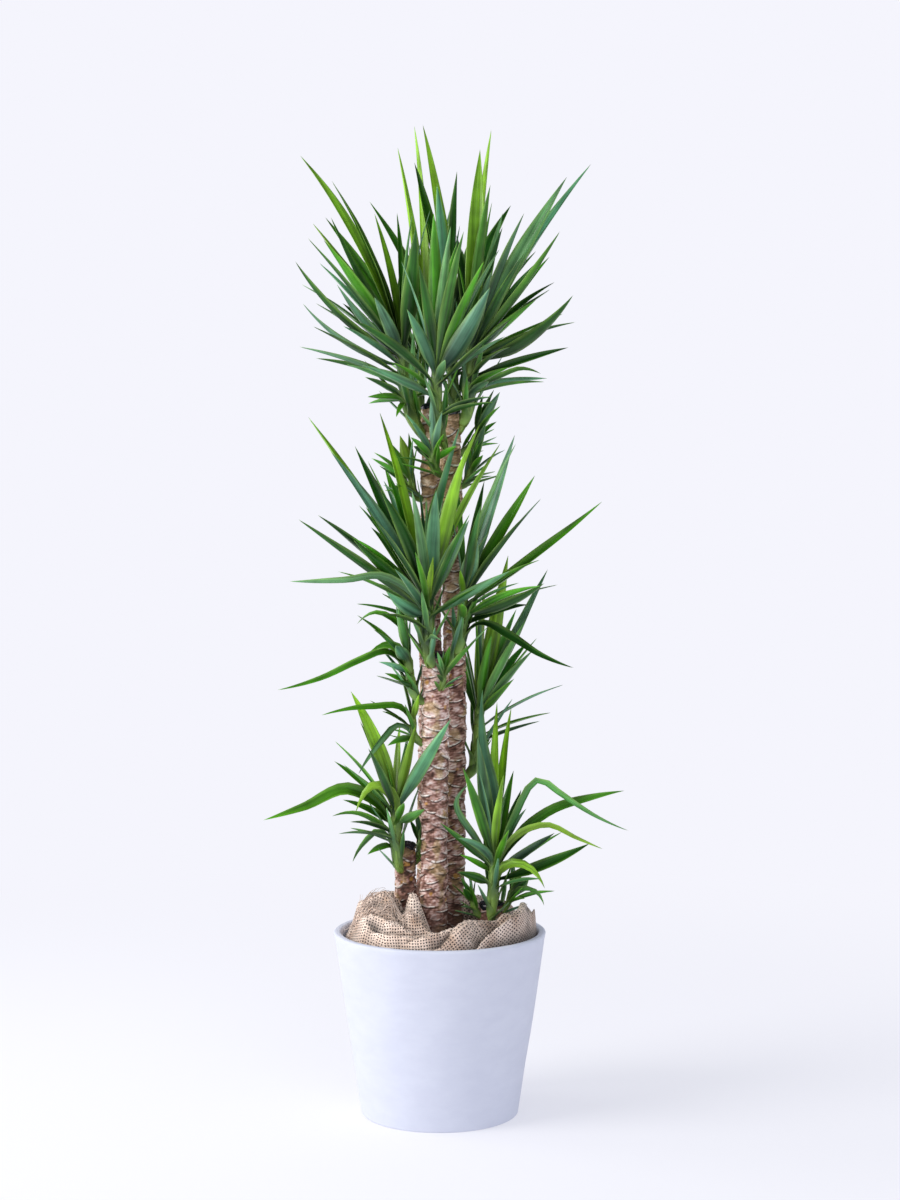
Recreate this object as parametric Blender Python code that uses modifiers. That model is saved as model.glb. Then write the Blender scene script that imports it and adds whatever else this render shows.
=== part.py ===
"""Potted yucca: five canes with leafy shoots, burlap heaped over the soil, in a tapered planter.

The origin is on the floor at the pot's axis, +Z is up and the front is towards -Y.
"""

import math

import bmesh
import bpy
import numpy as np
from mathutils.bvhtree import BVHTree

CM = 0.01
GAP = 0.0003  # left between pieces that touch

# Planter
RIM_RADIUS = 0.185
FOOT_RADIUS = 0.137
POT_HEIGHT = 0.321
POT_WALL = 0.013
POT_FLOOR = 0.014
POT_BEVEL = 0.003
POT_STEPS = 48

# Soil, and how deep the canes stand in it
SOIL_TOP = 0.285
SOIL_CLEARANCE = 0.00075
CANE_DEPTH = 0.11
HOLE_CLEARANCE = 0.0004
HOLE_SIDES = 20

# Burlap ring: the height of its crest above the soil at each 45 degrees, from +X anticlockwise
BURLAP_CREST = (0.070, 0.082, 0.088, 0.096, 0.104, 0.088, 0.052, 0.072)
BURLAP_CREST_AT = 0.38  # where the crest lies, from 0 at the canes to 1 at the pot's wall
BURLAP_INNER_DROP = 0.018
BURLAP_OUTER_HEIGHT = 0.030
BURLAP_WALL_GAP = 0.003
BURLAP_CANE_GAP = 0.004
BURLAP_ROUNDING = 120  # the higher, the closer the ring follows each cane
BURLAP_FOLDS = (9, 5)
BURLAP_FOLD_SLANT = (5.0, -7.0)
BURLAP_FOLD_SHARE = (1.0, 0.6)
BURLAP_FOLD_DEPTH = 0.006
BURLAP_AROUND = 48
BURLAP_ACROSS = 6

# Canes: foot x and y, top x, y and z, sideways bow, radius at foot and top, all in centimetres
CANES = {
    "tall_right": ((1.9, 3.0), (1.5, 3.0, 122.5), 0.9, 2.1, 1.85),
    "tall_left": ((-2.4, 6.8), (-1.5, 6.8, 123.5), 0.2, 2.0, 1.8),
    "middle": ((-1.1, -3.0), (-0.6, -3.0, 80.5), 0.0, 2.25, 2.4),
    "short": ((-6.0, 0.0), (-6.0, 0.0, 47.0), 0.0, 1.9, 1.85),
    "stub": ((9.0, -2.0), (9.0, -2.0, 37.0), 0.0, 2.3, 2.2),
}
CANE_SIDES = 10
SCAR_SPACING = 0.030
SCAR_RELIEF = 0.0007
SCARS_START = 0.010  # above the soil
WAX_HEIGHT = 0.007
WAX_INSET = 0.0012
WAX_SIDES = 10

# Leaf blades. Sections stand at these parts of the length; a curved blade has more of them.
BLADE_SECTIONS = np.array([0.0, 0.25, 0.62])
CURVED_BLADE_SECTIONS = np.array([0.0, 0.2, 0.4, 0.6, 0.8])
CURVED_FROM_BOW = 0.11
BLADE_WIDTH = (0.009, 0.07)  # a fixed part, and a part that grows with the length
BLADE_BASE = 0.22
BLADE_WIDEST = 0.38
BLADE_POINT = 1.9
BLADE_KEEL = 0.0010
BLADE_KEEL_SHARE = 0.12
BLADE_CHANNEL = 0.16
BLADE_LEAN = 1.2
BLADE_TWIST_END = 0.3
BLADE_ROOT_DEPTH = 0.2
BLADE_CLEARANCE = 0.0009
BURLAP_BLADE_GAP = 0.008
TOWARDS_VIEWER = np.array([0.0, -1.0, 0.0])
GOLDEN_ANGLE = math.pi * (3 - math.sqrt(5))

# How a leaf looks for room: steps of its tip in depth, and of its middle
TIP_STEP = 0.015
TIP_STEPS = 9
MIDDLE_SHIFTS = (0, -0.012, 0.012, -0.025, 0.025)
RULE_ATTEMPTS = 40
RULE_TURN = 0.9
RULE_SPREAD = (0.12, 0.14)  # of azimuth and slope, in radians
RULE_LENGTHS = (0.82, 1.1)
RULE_WIDTHS = (0.85, 1.05)
RULE_BOWS = (0.02, 0.12)
RULE_ROLL = 0.5

# Stems of the shoots
STEM_SIDES = 6
STEM_LEVELS = np.array([0.0, 0.3, 0.5, 0.75, 1.0])
STEM_TAPER = np.array([0.85, 1.0, 1.0, 0.85, 0.6])
STEM_TIP = 0.012
STEM_CLEARANCE = 0.0012
LEAFY_FROM = 0.5  # the lowest leaves leave the stem here, and the steepest near its top
CANE_CLEARANCE = 0.002

# Shoots. "stem" is its centre line in centimetres, from the cane's axis outwards, with "radius".
# "leaves" are those that show most: the tip's x, y and z, the width seen from the front and how
# far the blade bows upwards as a part of its length, then any points that the blade passes.
# "more" is how many leaves the rule adds, "reach" their length, "facing" the middle and the half
# width in degrees of the sector they fill, and "rise" their lowest and steepest slope in degrees.
SHOOTS = {
    "top_left": {
        "cane": "tall_left",
        "stem": ((-1.5, 6.8, 117.0), (-4.6, 4.6, 121.0), (-6.0, 3.4, 127.0), (-6.4, 3.0, 134.0)),
        "radius": 1.15,
        "leaves": [
            (-24.5, 8, 167.5, 1.6, 0.10),
            (-4.0, -7, 153.5, 2.9, -0.10),
            (-11.0, -8, 141.5, 2.2, 0.06),
            (-20.0, 0, 152.0, 2.1, 0.02),
            (-19.0, 6, 156.5, 1.4, -0.05),
            (-11.5, 9, 157.5, 1.2, 0.06),
            (-22.5, 9, 156.0, 0.8, 0.04),
            (-25.0, 2, 148.5, 0.9, -0.15),
            (-17.5, -4, 144.0, 1.6, -0.10),
            (-21.0, 4, 148.5, 0.9, 0.04),
            (-23.5, -1, 141.0, 1.0, -0.18),
            (-17.0, 5, 141.5, 1.6, 0.04),
            (-7.5, 8, 157.5, 1.4, 0.06),
            (-16.5, -3, 137.0, 1.0, 0.06),
            (-16.0, -2, 130.5, 1.0, 0.05),
            (-13.0, 1, 128.5, 1.2, 0.05),
            (-12.5, 0, 125.0, 1.2, 0.08),
            (-12.5, 4, 124.0, 1.0, 0.08),
            (-7.5, -1, 121.5, 1.0, 0.12),
        ],
        "more": 9,
        "reach": (16, 30),
        "facing": (150, 95),
        "rise": (8, 70),
    },
    "top_centre": {
        "cane": "tall_right",
        "stem": ((1.5, 3.0, 115.0), (0.2, -0.6, 118.5), (-0.4, -2.2, 124.0), (-0.6, -3.0, 129.5)),
        "radius": 1.0,
        "leaves": [
            (8.5, -10, 143.0, 3.3, -0.04),
            (7.5, -9, 147.5, 1.8, 0.02),
            (-3.5, -9, 147.0, 2.1, 0.06),
            (-5.5, -8, 139.5, 2.2, 0.06),
            (1.0, -8, 131.0, 1.6, 0.06),
            (-13.0, -9, 130.0, 1.6, 0.05),
            (3.0, -6, 151.0, 2.4, 0.05),
            (-1.0, -5, 156.0, 2.8, 0.04),
        ],
        "more": 9,
        "reach": (12, 26),
        "facing": (-90, 110),
        "rise": (5, 75),
    },
    "top_right": {
        "cane": "tall_right",
        "stem": ((1.6, 3.0, 117.5), (4.3, 2.8, 121.0), (5.0, 2.2, 127.0), (5.6, 2.0, 134.5)),
        "radius": 1.2,
        "leaves": [
            (7.0, 4, 168.0, 3.3, 0.02),
            (22.0, 2, 163.0, 2.9, 0.03),
            (26.5, 8, 166.0, 1.7, 0.05),
            (9.0, 8, 172.0, 1.4, 0.04),
            (23.0, 0, 142.5, 2.1, 0.0, (13.0, 0.5, 133.5), (18.0, 0.0, 137.0)),
            (14.5, 0, 156.5, 1.6, 0.02),
            (20.5, -4, 153.0, 1.3, -0.05),
            (18.5, 6, 150.0, 1.3, 0.05),
            (11.0, 8, 155.0, 1.6, 0.05),
            (16.5, -2, 141.5, 1.5, 0.04),
            (12.0, -5, 138.0, 1.3, 0.04),
            (17.5, 0, 129.0, 0.9, 0.0, (10.4, 0.5, 128.5), (14.0, 0.2, 129.8)),
            (12.0, -3, 130.0, 1.3, 0.06),
            (8.5, -4, 127.5, 1.3, 0.06),
        ],
        "more": 12,
        "reach": (14, 30),
        "facing": (20, 95),
        "rise": (8, 72),
    },
    "top_back": {
        "cane": "tall_right",
        "stem": ((1.6, 3.0, 118.0), (2.6, 6.4, 121.5), (2.3, 8.0, 127.5), (1.6, 8.6, 134.0)),
        "radius": 1.1,
        "leaves": [
            (-3.0, 9, 173.0, 2.4, 0.05),
            (-4.5, 8, 166.5, 2.4, 0.05),
            (3.0, 6, 164.5, 1.9, 0.04),
            (-0.5, 4, 162.0, 3.1, 0.04),
            (-12.5, 12, 160.0, 1.9, 0.05),
        ],
        "more": 15,
        "reach": (18, 36),
        "facing": (70, 110),
        "rise": (10, 80),
    },
    "top_back_left": {
        "cane": "tall_left",
        "stem": ((-1.5, 6.8, 118.0), (-3.4, 9.8, 121.5), (-3.7, 10.8, 127.0), (-3.2, 11.0, 133.0)),
        "radius": 0.95,
        "leaves": [
            (-4.5, 12, 173.0, 1.1, 0.05),
            (-7.5, 12, 169.5, 1.1, 0.05),
        ],
        "more": 12,
        "reach": (16, 32),
        "facing": (125, 75),
        "rise": (10, 78),
    },
    "side_front": {
        "cane": "tall_right",
        "stem": ((1.9, 3.0, 111.0), (-0.7, 0.4, 112.5), (-1.1, -0.8, 115.5)),
        "radius": 0.65,
        "leaves": [
            (-1.5, -4, 124.5, 1.3, 0.05),
            (0.5, -4, 122.5, 1.4, 0.05),
            (3.0, -4, 116.5, 1.2, 0.08),
            (-5.0, -4, 118.0, 1.2, 0.08),
            (-4.5, -2, 116.5, 1.2, 0.08),
        ],
        "more": 5,
        "reach": (5, 9),
        "facing": (-110, 70),
        "rise": (10, 70),
    },
    "side_left": {
        "cane": "tall_left",
        "stem": ((-1.6, 6.8, 107.0), (-4.3, 5.8, 108.0), (-5.0, 5.2, 110.5)),
        "radius": 0.65,
        "leaves": [
            (-7.0, 5, 118.5, 2.2, 0.05),
            (-9.0, 4, 117.5, 1.7, 0.05),
            (-7.0, 1, 109.0, 1.9, 0.1),
            (-5.5, 7, 119.0, 1.2, 0.05),
            (-12.0, 5, 114.5, 1.2, 0.08),
            (-8.5, 2, 109.5, 1.2, 0.1),
        ],
        "more": 5,
        "reach": (6, 10),
        "facing": (180, 75),
        "rise": (0, 60),
    },
    "side_right": {
        "cane": "tall_right",
        "stem": ((1.7, 3.2, 114.5), (4.4, 4.2, 115.8), (6.4, 4.9, 118.6)),
        "radius": 0.6,
        "leaves": [
            (10.5, 3, 126.0, 1.7, 0.05),
            (9.5, 5, 126.5, 1.2, 0.05),
        ],
        "more": 5,
        "reach": (5, 9),
        "facing": (10, 75),
        "rise": (10, 70),
    },
    "side_right_low": {
        "cane": "tall_right",
        "stem": ((1.9, 3.0, 109.0), (4.5, 3.2, 110.2), (5.4, 2.8, 112.6)),
        "radius": 0.6,
        "leaves": [
            (8.0, 1, 120.5, 1.7, 0.05),
            (7.5, -1, 115.0, 1.2, 0.08),
        ],
        "more": 4,
        "reach": (5, 8),
        "facing": (-10, 75),
        "rise": (0, 60),
    },
    "mid_front": {
        "cane": "middle",
        "stem": ((-0.7, -3.0, 77.5), (-1.7, -5.7, 80.0), (-1.9, -6.6, 85.0), (-1.8, -6.9, 90.5)),
        "radius": 1.1,
        "leaves": [
            (-0.5, -12, 109.0, 2.9, 0.05),
            (4.5, -8, 116.0, 2.6, 0.02),
            (5.0, -13, 104.0, 2.4, 0.05),
            (-22.5, -4, 121.5, 1.5, 0.03),
            (-18.5, -8, 115.5, 1.8, 0.05),
            (-14.5, -6, 116.5, 2.1, 0.0),
            (-10.0, -9, 109.0, 2.4, 0.08),
            (-24.0, -7, 104.0, 1.6, 0.0),
            (-25.5, -8, 93.5, 1.2, 0.0, (-5.0, -8.0, 91.5), (-9.5, -8.5, 94.2), (-16.0, -8.5, 93.6)),
            (-14.5, -11, 100.5, 2.2, 0.0),
            (-9.0, -12, 92.0, 2.4, -0.1),
            (12.0, -12, 95.5, 1.8, 0.0),
            (-1.0, -13, 98.0, 1.2, 0.06),
        ],
        "more": 8,
        "reach": (12, 24),
        "facing": (-110, 90),
        "rise": (5, 70),
    },
    "mid_right": {
        "cane": "middle",
        "stem": ((-0.6, -3.0, 78.0), (2.7, -3.5, 80.5), (3.7, -3.0, 86.0), (4.0, -2.6, 91.5)),
        "radius": 1.1,
        "leaves": [
            (6.5, -8, 100.5, 2.9, 0.05),
            (13.0, 0, 118.5, 2.1, 0.0),
            (16.5, 0, 111.5, 1.9, 0.0),
            (28.0, -2, 107.0, 1.2, -0.04),
            (15.0, -5, 105.0, 1.2, 0.03),
            (18.0, -4, 93.0, 1.7, -0.12),
            (23.0, -5, 78.5, 1.4, 0.0, (7.0, -3.5, 86.0), (12.0, -4.0, 83.8), (17.4, -4.5, 80.5)),
            (5.5, -5, 100.5, 1.4, 0.05),
            (8.5, -5, 102.0, 1.4, 0.05),
            (3.5, -9, 95.5, 1.2, 0.05),
        ],
        "more": 11,
        "reach": (13, 26),
        "facing": (-10, 85),
        "rise": (8, 75),
    },
    "mid_back": {
        "cane": "middle",
        "stem": ((-0.7, -3.0, 77.0), (-2.3, -0.2, 80.5), (-3.0, 0.9, 86.0), (-2.6, 1.4, 91.5)),
        "radius": 1.0,
        "leaves": [
            (-10.5, 6, 122.5, 1.3, 0.03),
            (3.5, -2, 120.0, 1.6, 0.05),
            (-0.5, 1, 109.5, 2.2, 0.05),
            (7.0, -1, 120.5, 1.2, 0.05),
            (10.5, 3, 117.0, 1.1, 0.05),
            (-9.0, 3, 112.0, 2.0, 0.05),
            (-13.0, 4, 106.0, 1.6, 0.03),
        ],
        "more": 11,
        "reach": (14, 28),
        "facing": (140, 100),
        "rise": (10, 75),
    },
    "mid_left": {
        "cane": "middle",
        "stem": ((-0.8, -3.0, 71.5), (-4.1, -3.4, 73.5), (-5.0, -3.2, 77.0), (-5.4, -3.0, 80.5)),
        "radius": 0.85,
        "leaves": [
            (-7.5, -7, 82.5, 2.4, 0.05),
            (-28.0, -3, 74.5, 1.1, 0.0, (-9.5, -3.2, 81.0), (-13.5, -3.4, 79.6), (-20.5, -3.4, 76.4)),
            (-12.5, -2, 80.5, 1.7, 0.0, (-8.3, -2.8, 82.3)),
            (-7.5, -4, 89.0, 1.7, 0.05),
            (-14.5, 2, 85.5, 1.0, 0.0, (-7.5, -0.5, 86.0), (-11.3, 1.0, 87.6)),
            (-14.5, 4, 87.0, 1.0, 0.1),
            (-10.5, -5, 79.5, 1.2, 0.15),
            (-9.5, -4, 77.5, 1.0, 0.1),
            (-7.0, -6, 76.5, 1.2, 0.1),
        ],
        "more": 7,
        "reach": (7, 15),
        "facing": (180, 75),
        "rise": (0, 75),
    },
    "mid_left_low": {
        "cane": "middle",
        "stem": ((-0.8, -3.0, 64.5), (-3.9, -3.1, 66.0), (-4.5, -2.9, 69.5)),
        "radius": 0.55,
        "leaves": [
            (-20.5, -2, 70.0, 1.0, 0.0, (-6.6, -2.8, 71.2), (-12.0, -2.5, 71.4)),
            (-14.0, -4, 60.0, 1.2, 0.0, (-7.2, -3.2, 68.6), (-10.4, -3.6, 65.5)),
            (-9.0, -5, 65.0, 1.2, 0.2),
            (-3.5, -4.5, 74.0, 1.2, 0.06),
        ],
        "more": 4,
        "reach": (6, 12),
        "facing": (180, 70),
        "rise": (0, 60),
    },
    "mid_small": {
        "cane": "middle",
        "stem": ((-0.6, -3.0, 74.5), (0.4, -5.6, 75.4), (0.6, -6.3, 77.5)),
        "radius": 0.45,
        "leaves": [
            (1.8, -7.5, 82.5, 1.3, 0.05),
            (-0.4, -8.0, 81.5, 0.9, 0.05),
            (4.5, -7.5, 81.5, 1.0, 0.08),
            (6.2, -8.0, 83.5, 0.9, 0.05),
        ],
        "more": 2,
        "reach": (4, 6),
        "facing": (-90, 60),
        "rise": (10, 60),
    },
    "low_back": {
        "cane": "tall_right",
        "stem": ((2.6, 3.0, 57.0), (5.6, 4.4, 59.5), (6.5, 5.0, 64.5), (6.8, 5.3, 70.5)),
        "radius": 1.05,
        "leaves": [
            (12.0, 5, 97.5, 2.8, 0.0),
            (19.0, 6, 95.0, 1.7, 0.0),
            (16.5, 4, 81.0, 1.5, 0.05),
            (13.0, 2, 76.0, 1.5, 0.05),
            (15.0, 0, 86.5, 1.6, 0.03),
            (9.0, 0, 84.0, 1.8, 0.05),
            (8.0, 8, 92.0, 1.8, 0.04),
        ],
        "more": 10,
        "reach": (12, 26),
        "facing": (40, 95),
        "rise": (10, 75),
    },
    "short_front": {
        "cane": "short",
        "stem": ((-6.0, 0.0, 42.0), (-7.1, -2.4, 43.8), (-7.5, -3.0, 48.0), (-7.5, -3.2, 54.5)),
        "radius": 0.95,
        "leaves": [
            (-15.5, 0, 74.0, 2.7, 0.10),
            (2.0, -7, 70.0, 2.4, 0.02),
            (-4.0, -3, 69.0, 1.7, 0.0),
            (-30.5, -4, 52.0, 1.9, 0.0, (-13.5, -3.2, 56.5), (-15.4, -3.3, 57.2), (-23.5, -3.8, 54.2)),
            (-14.5, -6, 53.5, 2.1, 0.0, (-9.0, -4.2, 57.5), (-10.2, -4.8, 58.4)),
            (-18.5, -6, 53.0, 1.2, 0.0, (-11.2, -4.2, 51.8), (-13.8, -5.0, 53.2)),
            (-15.0, -6, 45.0, 1.2, 0.0, (-10.6, -4.0, 50.0), (-13.0, -5.2, 48.2)),
            (-7.0, 2, 68.0, 1.2, 0.04),
            (-3.0, 2, 61.5, 1.7, 0.05),
            (-18.5, 2, 61.5, 1.1, 0.05),
            (-17.0, 0, 55.0, 1.1, 0.12),
            (-2.5, -8, 54.5, 1.7, 0.0),
            (-11.5, -6, 62.5, 1.4, 0.05),
            (-12.5, -4, 46.0, 1.1, 0.2),
        ],
        "more": 10,
        "reach": (9, 18),
        "facing": (180, 110),
        "rise": (0, 70),
    },
    "short_back": {
        "cane": "short",
        "stem": ((-6.0, 0.0, 43.0), (-3.9, 1.3, 44.6), (-3.6, 1.8, 47.4)),
        "radius": 0.5,
        "leaves": [
            (-4.2, 2.5, 53.0, 1.0, 0.05),
            (-2.0, 1.0, 52.0, 0.9, 0.08),
            (-5.4, 4.0, 51.0, 0.9, 0.08),
        ],
        "more": 4,
        "reach": (4, 6),
        "facing": (60, 80),
        "rise": (10, 60),
    },
    "stub_front": {
        "cane": "stub",
        "stem": ((9.0, -2.0, 33.6), (8.9, -4.9, 35.8), (9.2, -5.1, 39.5), (9.4, -5.2, 45.5)),
        "radius": 0.95,
        "leaves": [
            (7.5, 0, 74.5, 1.8, 0.0, (9.3, -4.0, 56.0), (7.2, -2.5, 66.0)),
            (6.5, -4, 66.5, 2.5, 0.0),
            (12.5, 2, 71.0, 1.4, 0.03),
            (10.0, 0, 72.0, 1.7, 0.03),
            (11.0, -7, 60.5, 1.6, 0.05),
            (32.5, -6, 50.5, 1.4, 0.0, (13.0, -5.4, 52.5), (17.4, -5.6, 59.0), (20.0, -5.7, 57.2),
             (27.0, -5.9, 52.8)),
            (32.0, -3, 57.0, 1.5, 0.0, (15.7, -4.6, 51.2), (19.0, -4.2, 53.4), (26.1, -3.6, 55.8)),
            (28.0, -7, 47.5, 1.4, 0.0, (15.2, -6.2, 50.8), (18.2, -6.5, 51.6), (23.5, -6.8, 49.4)),
            (26.0, -4, 48.0, 1.7, -0.06),
            (20.0, -2, 49.5, 1.5, 0.0),
            (18.0, -9, 41.0, 1.7, 0.0, (12.3, -6.6, 45.2), (14.2, -7.6, 45.2)),
            (0.0, -5, 52.0, 1.4, 0.0),
            (5.0, -6, 58.5, 1.4, 0.0, (6.1, -5.6, 49.0), (2.9, -6.0, 56.0)),
            (3.0, -7.5, 49.5, 1.6, 0.0, (7.5, -6.2, 47.5), (5.6, -7.0, 48.8)),
            (3.0, -7, 43.5, 1.7, 0.08),
            (3.5, -5, 46.2, 0.9, 0.05),
        ],
        "more": 7,
        "reach": (10, 22),
        "facing": (0, 120),
        "rise": (15, 75),
    },
    "stub_right": {
        "cane": "stub",
        "stem": ((9.0, -2.0, 34.4), (11.3, -2.5, 36.6), (12.4, -2.8, 39.6)),
        "radius": 0.5,
        "leaves": [
            (15.5, -4, 42.0, 2.4, 0.05),
            (18.0, -6, 37.5, 1.1, 0.0, (14.6, -3.6, 40.2), (16.4, -4.8, 40.0)),
            (20.0, -3, 39.5, 1.0, 0.1),
            (14.0, 1, 42.5, 1.4, 0.05),
        ],
        "more": 4,
        "reach": (4, 7),
        "facing": (10, 75),
        "rise": (15, 65),
    },
    "stub_left": {
        "cane": "stub",
        "stem": ((9.0, -2.0, 34.2), (6.4, -2.8, 35.8), (5.8, -3.3, 38.2)),
        "radius": 0.45,
        "leaves": [
            (4.0, -6, 40.5, 1.5, 0.05),
            (3.6, -4, 42.0, 1.0, 0.05),
        ],
        "more": 3,
        "reach": (4, 6),
        "facing": (200, 60),
        "rise": (20, 65),
    },
}

COLOURS = {
    "planter": ((0.66, 0.68, 0.76), 0.75),
    "soil": ((0.07, 0.05, 0.035), 0.95),
    "burlap": ((0.47, 0.34, 0.20), 0.90),
    "bark": ((0.33, 0.22, 0.17), 0.85),
    "wax": ((0.015, 0.018, 0.035), 0.35),
    "leaf": ((0.06, 0.17, 0.035), 0.40),
}


def clear_scene():
    for obj in list(bpy.data.objects):
        bpy.data.objects.remove(obj)


def new_material(name):
    colour, roughness = COLOURS[name]
    material = bpy.data.materials.new(name)
    material.use_nodes = True
    shader = material.node_tree.nodes["Principled BSDF"]
    shader.inputs["Base Color"].default_value = (*colour, 1.0)
    shader.inputs["Roughness"].default_value = roughness
    return material


def new_object(name, vertices, faces, material, collection):
    mesh = bpy.data.meshes.new(name)
    mesh.from_pydata([tuple(v) for v in vertices], [], [tuple(f) for f in faces])
    mesh.materials.append(material)
    mesh.shade_smooth()
    mesh.set_sharp_from_angle(angle=math.radians(35))
    obj = bpy.data.objects.new(name, mesh)
    collection.objects.link(obj)
    return obj


def loft(rings, tip=None):
    """Closed shape through rings of points, anticlockwise seen from the end, with a tip or flat ends."""
    rings = np.asarray(rings)
    count, sides = rings.shape[:2]
    vertices = rings.reshape(-1, 3).tolist()
    faces = [list(range(sides))[::-1]]
    for i in range(count - 1):
        for j in range(sides):
            a, b = i * sides + j, i * sides + (j + 1) % sides
            faces.append([a, b, b + sides, a + sides])
    last = (count - 1) * sides
    if tip is None:
        faces.append(list(range(last, last + sides)))
    else:
        vertices.append(list(tip))
        faces += [[last + j, last + (j + 1) % sides, count * sides] for j in range(sides)]
    return vertices, faces


def split_quads(faces):
    """Every quad as two triangles, cut the same way."""
    triangles = []
    for face in faces:
        triangles += [[face[0], face[i], face[i + 1]] for i in range(1, len(face) - 1)]
    return triangles


def unit(vectors):
    return vectors / np.linalg.norm(vectors, axis=-1, keepdims=True)


def square_to(vector, direction):
    """The part of vector at right angles to each direction, at length 1."""
    return unit(vector - (direction * vector).sum(-1, keepdims=True) * direction)


def course(points, t):
    """Smooth curve through the points: cubic pieces whose slopes come from the neighbouring points."""
    points = np.asarray(points, float)
    t = np.asarray(t, float)
    steps = np.linalg.norm(np.diff(points, axis=0), axis=1)
    knots = np.concatenate([[0.0], np.cumsum(steps)]) / steps.sum()
    slopes = np.gradient(points, knots, axis=0, edge_order=2)
    i = np.clip(np.searchsorted(knots, t, side="right") - 1, 0, len(knots) - 2)
    span = (knots[i + 1] - knots[i])[:, None]
    u = (t - knots[i])[:, None] / span
    return (
        (1 + 2 * u) * (1 - u) ** 2 * points[i]
        + u * (1 - u) ** 2 * span * slopes[i]
        + u * u * (3 - 2 * u) * points[i + 1]
        + u * u * (u - 1) * span * slopes[i + 1]
    )


def heading(points, t):
    """Direction of the curve at each t."""
    step = 0.01
    return unit(course(points, np.minimum(t + step, 1)) - course(points, np.maximum(t - step, 0)))


def cane_rise(name, z):
    """0 at the soil and 1 at the cane's top."""
    return np.clip((z - SOIL_TOP) / (CANES[name][1][2] * CM - SOIL_TOP), 0, 1)


def cane_axis(name, z):
    """Axis of a cane: straight up out of the soil, then bowed sideways by a parabola."""
    foot, top, bow, _, _ = CANES[name]
    rise = cane_rise(name, z)
    x = foot[0] + (top[0] - foot[0]) * rise + 4 * bow * rise * (1 - rise)
    y = foot[1] + (top[1] - foot[1]) * rise
    return np.stack([x * CM, y * CM, z + 0 * x], axis=-1)


def cane_radius(name, z):
    low, high = CANES[name][3:]
    return (low + (high - low) * cane_rise(name, z)) * CM


def ring(centre, radius, sides):
    angles = np.linspace(0, 2 * math.pi, sides, endpoint=False)
    flat = np.stack([np.cos(angles), np.sin(angles), 0 * angles], axis=1)
    return centre + np.asarray(radius).reshape(-1, 1) * flat


def cane_shape(name, grow=0.0, above=0.0, relief=0.0):
    """Tapered trunk piece, its radius raised and lowered in turn as a net of leaf scars."""
    top = CANES[name][1][2] * CM
    scars = max(2, round((top - SOIL_TOP) / SCAR_SPACING))
    scarred = np.linspace(SOIL_TOP + SCARS_START, top + above, scars + 1)
    rings = []
    for i, z in enumerate([SOIL_TOP - CANE_DEPTH, SOIL_TOP, *scarred]):
        wave = relief * np.where((np.arange(CANE_SIDES) + i) % 2, 1, -1) * (z > SOIL_TOP)
        rings.append(ring(cane_axis(name, z), cane_radius(name, z) + grow + wave, CANE_SIDES))
    return loft(rings)


def make_cane(name, material, collection):
    vertices, faces = cane_shape(name, relief=SCAR_RELIEF)
    return new_object("cane_" + name, vertices, split_quads(faces), material, collection)


def turned(name, profile, steps, material, collection):
    """A solid turned about the pot's axis from (radius, height) points, top to bottom outside."""
    mesh = bpy.data.meshes.new(name)
    edges = [(i, i + 1) for i in range(len(profile) - 1)]
    mesh.from_pydata([(r, 0, z) for r, z in profile], edges, [])
    mesh.materials.append(material)
    obj = bpy.data.objects.new(name, mesh)
    collection.objects.link(obj)
    screw = obj.modifiers.new("Turn", "SCREW")
    screw.steps = screw.render_steps = steps
    screw.use_merge_vertices = True
    screw.merge_threshold = 0.00005
    return obj


def make_wax_cap(name, material, collection):
    """Low dome of sealing wax on a cane's cut end."""
    top = CANES[name][1]
    radius = CANES[name][4] * CM - WAX_INSET
    profile = [(0, WAX_HEIGHT), (0.55 * radius, 0.88 * WAX_HEIGHT), (0.88 * radius, 0.6 * WAX_HEIGHT)]
    profile += [(radius, 0.25 * WAX_HEIGHT), (radius, 0), (0, 0)]
    cap = turned("wax_cap_" + name, profile, WAX_SIDES, material, collection)
    cap.location = (top[0] * CM, top[1] * CM, top[2] * CM + GAP)
    return cap


def pot_outside(z):
    """Outer radius of the pot's tapered side at height z."""
    return FOOT_RADIUS + (RIM_RADIUS - FOOT_RADIUS) * z / POT_HEIGHT


def pot_inside(z):
    return pot_outside(z) - POT_WALL


def make_pot(material, collection):
    low, high = POT_BEVEL, POT_HEIGHT - POT_BEVEL
    profile = [
        (0, POT_FLOOR),
        (pot_inside(POT_FLOOR), POT_FLOOR),
        (pot_inside(high), high),
        (pot_inside(high) + POT_BEVEL, POT_HEIGHT),
        (pot_outside(high) - POT_BEVEL, POT_HEIGHT),
        (pot_outside(high), high),
        (pot_outside(low), low),
        (pot_outside(low) - POT_BEVEL, 0),
        (0, 0),
    ]
    return turned("pot", profile, POT_STEPS, material, collection)


def make_soil(material, collection, cutters):
    """Soil filling the pot, with a plain hole for each cane."""
    bottom = POT_FLOOR + GAP
    profile = [(0, SOIL_TOP), (pot_inside(SOIL_TOP) - SOIL_CLEARANCE, SOIL_TOP)]
    profile += [(pot_inside(bottom) - SOIL_CLEARANCE, bottom), (0, bottom)]
    soil = turned("soil", profile, POT_STEPS, material, collection)
    for name in CANES:
        ends = SOIL_TOP - CANE_DEPTH - GAP, SOIL_TOP + CANE_DEPTH
        feet = [cane_axis(name, SOIL_TOP) * [1, 1, 0] + [0, 0, z] for z in ends]
        radius = cane_radius(name, SOIL_TOP) + HOLE_CLEARANCE
        vertices, faces = loft([ring(foot, radius, HOLE_SIDES) for foot in feet])
        hole = new_object("hole_" + name, vertices, faces, material, cutters)
        cut = soil.modifiers.new("Hole " + name, "BOOLEAN")
        cut.operation = "DIFFERENCE"
        cut.object = hole
    return soil


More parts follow.
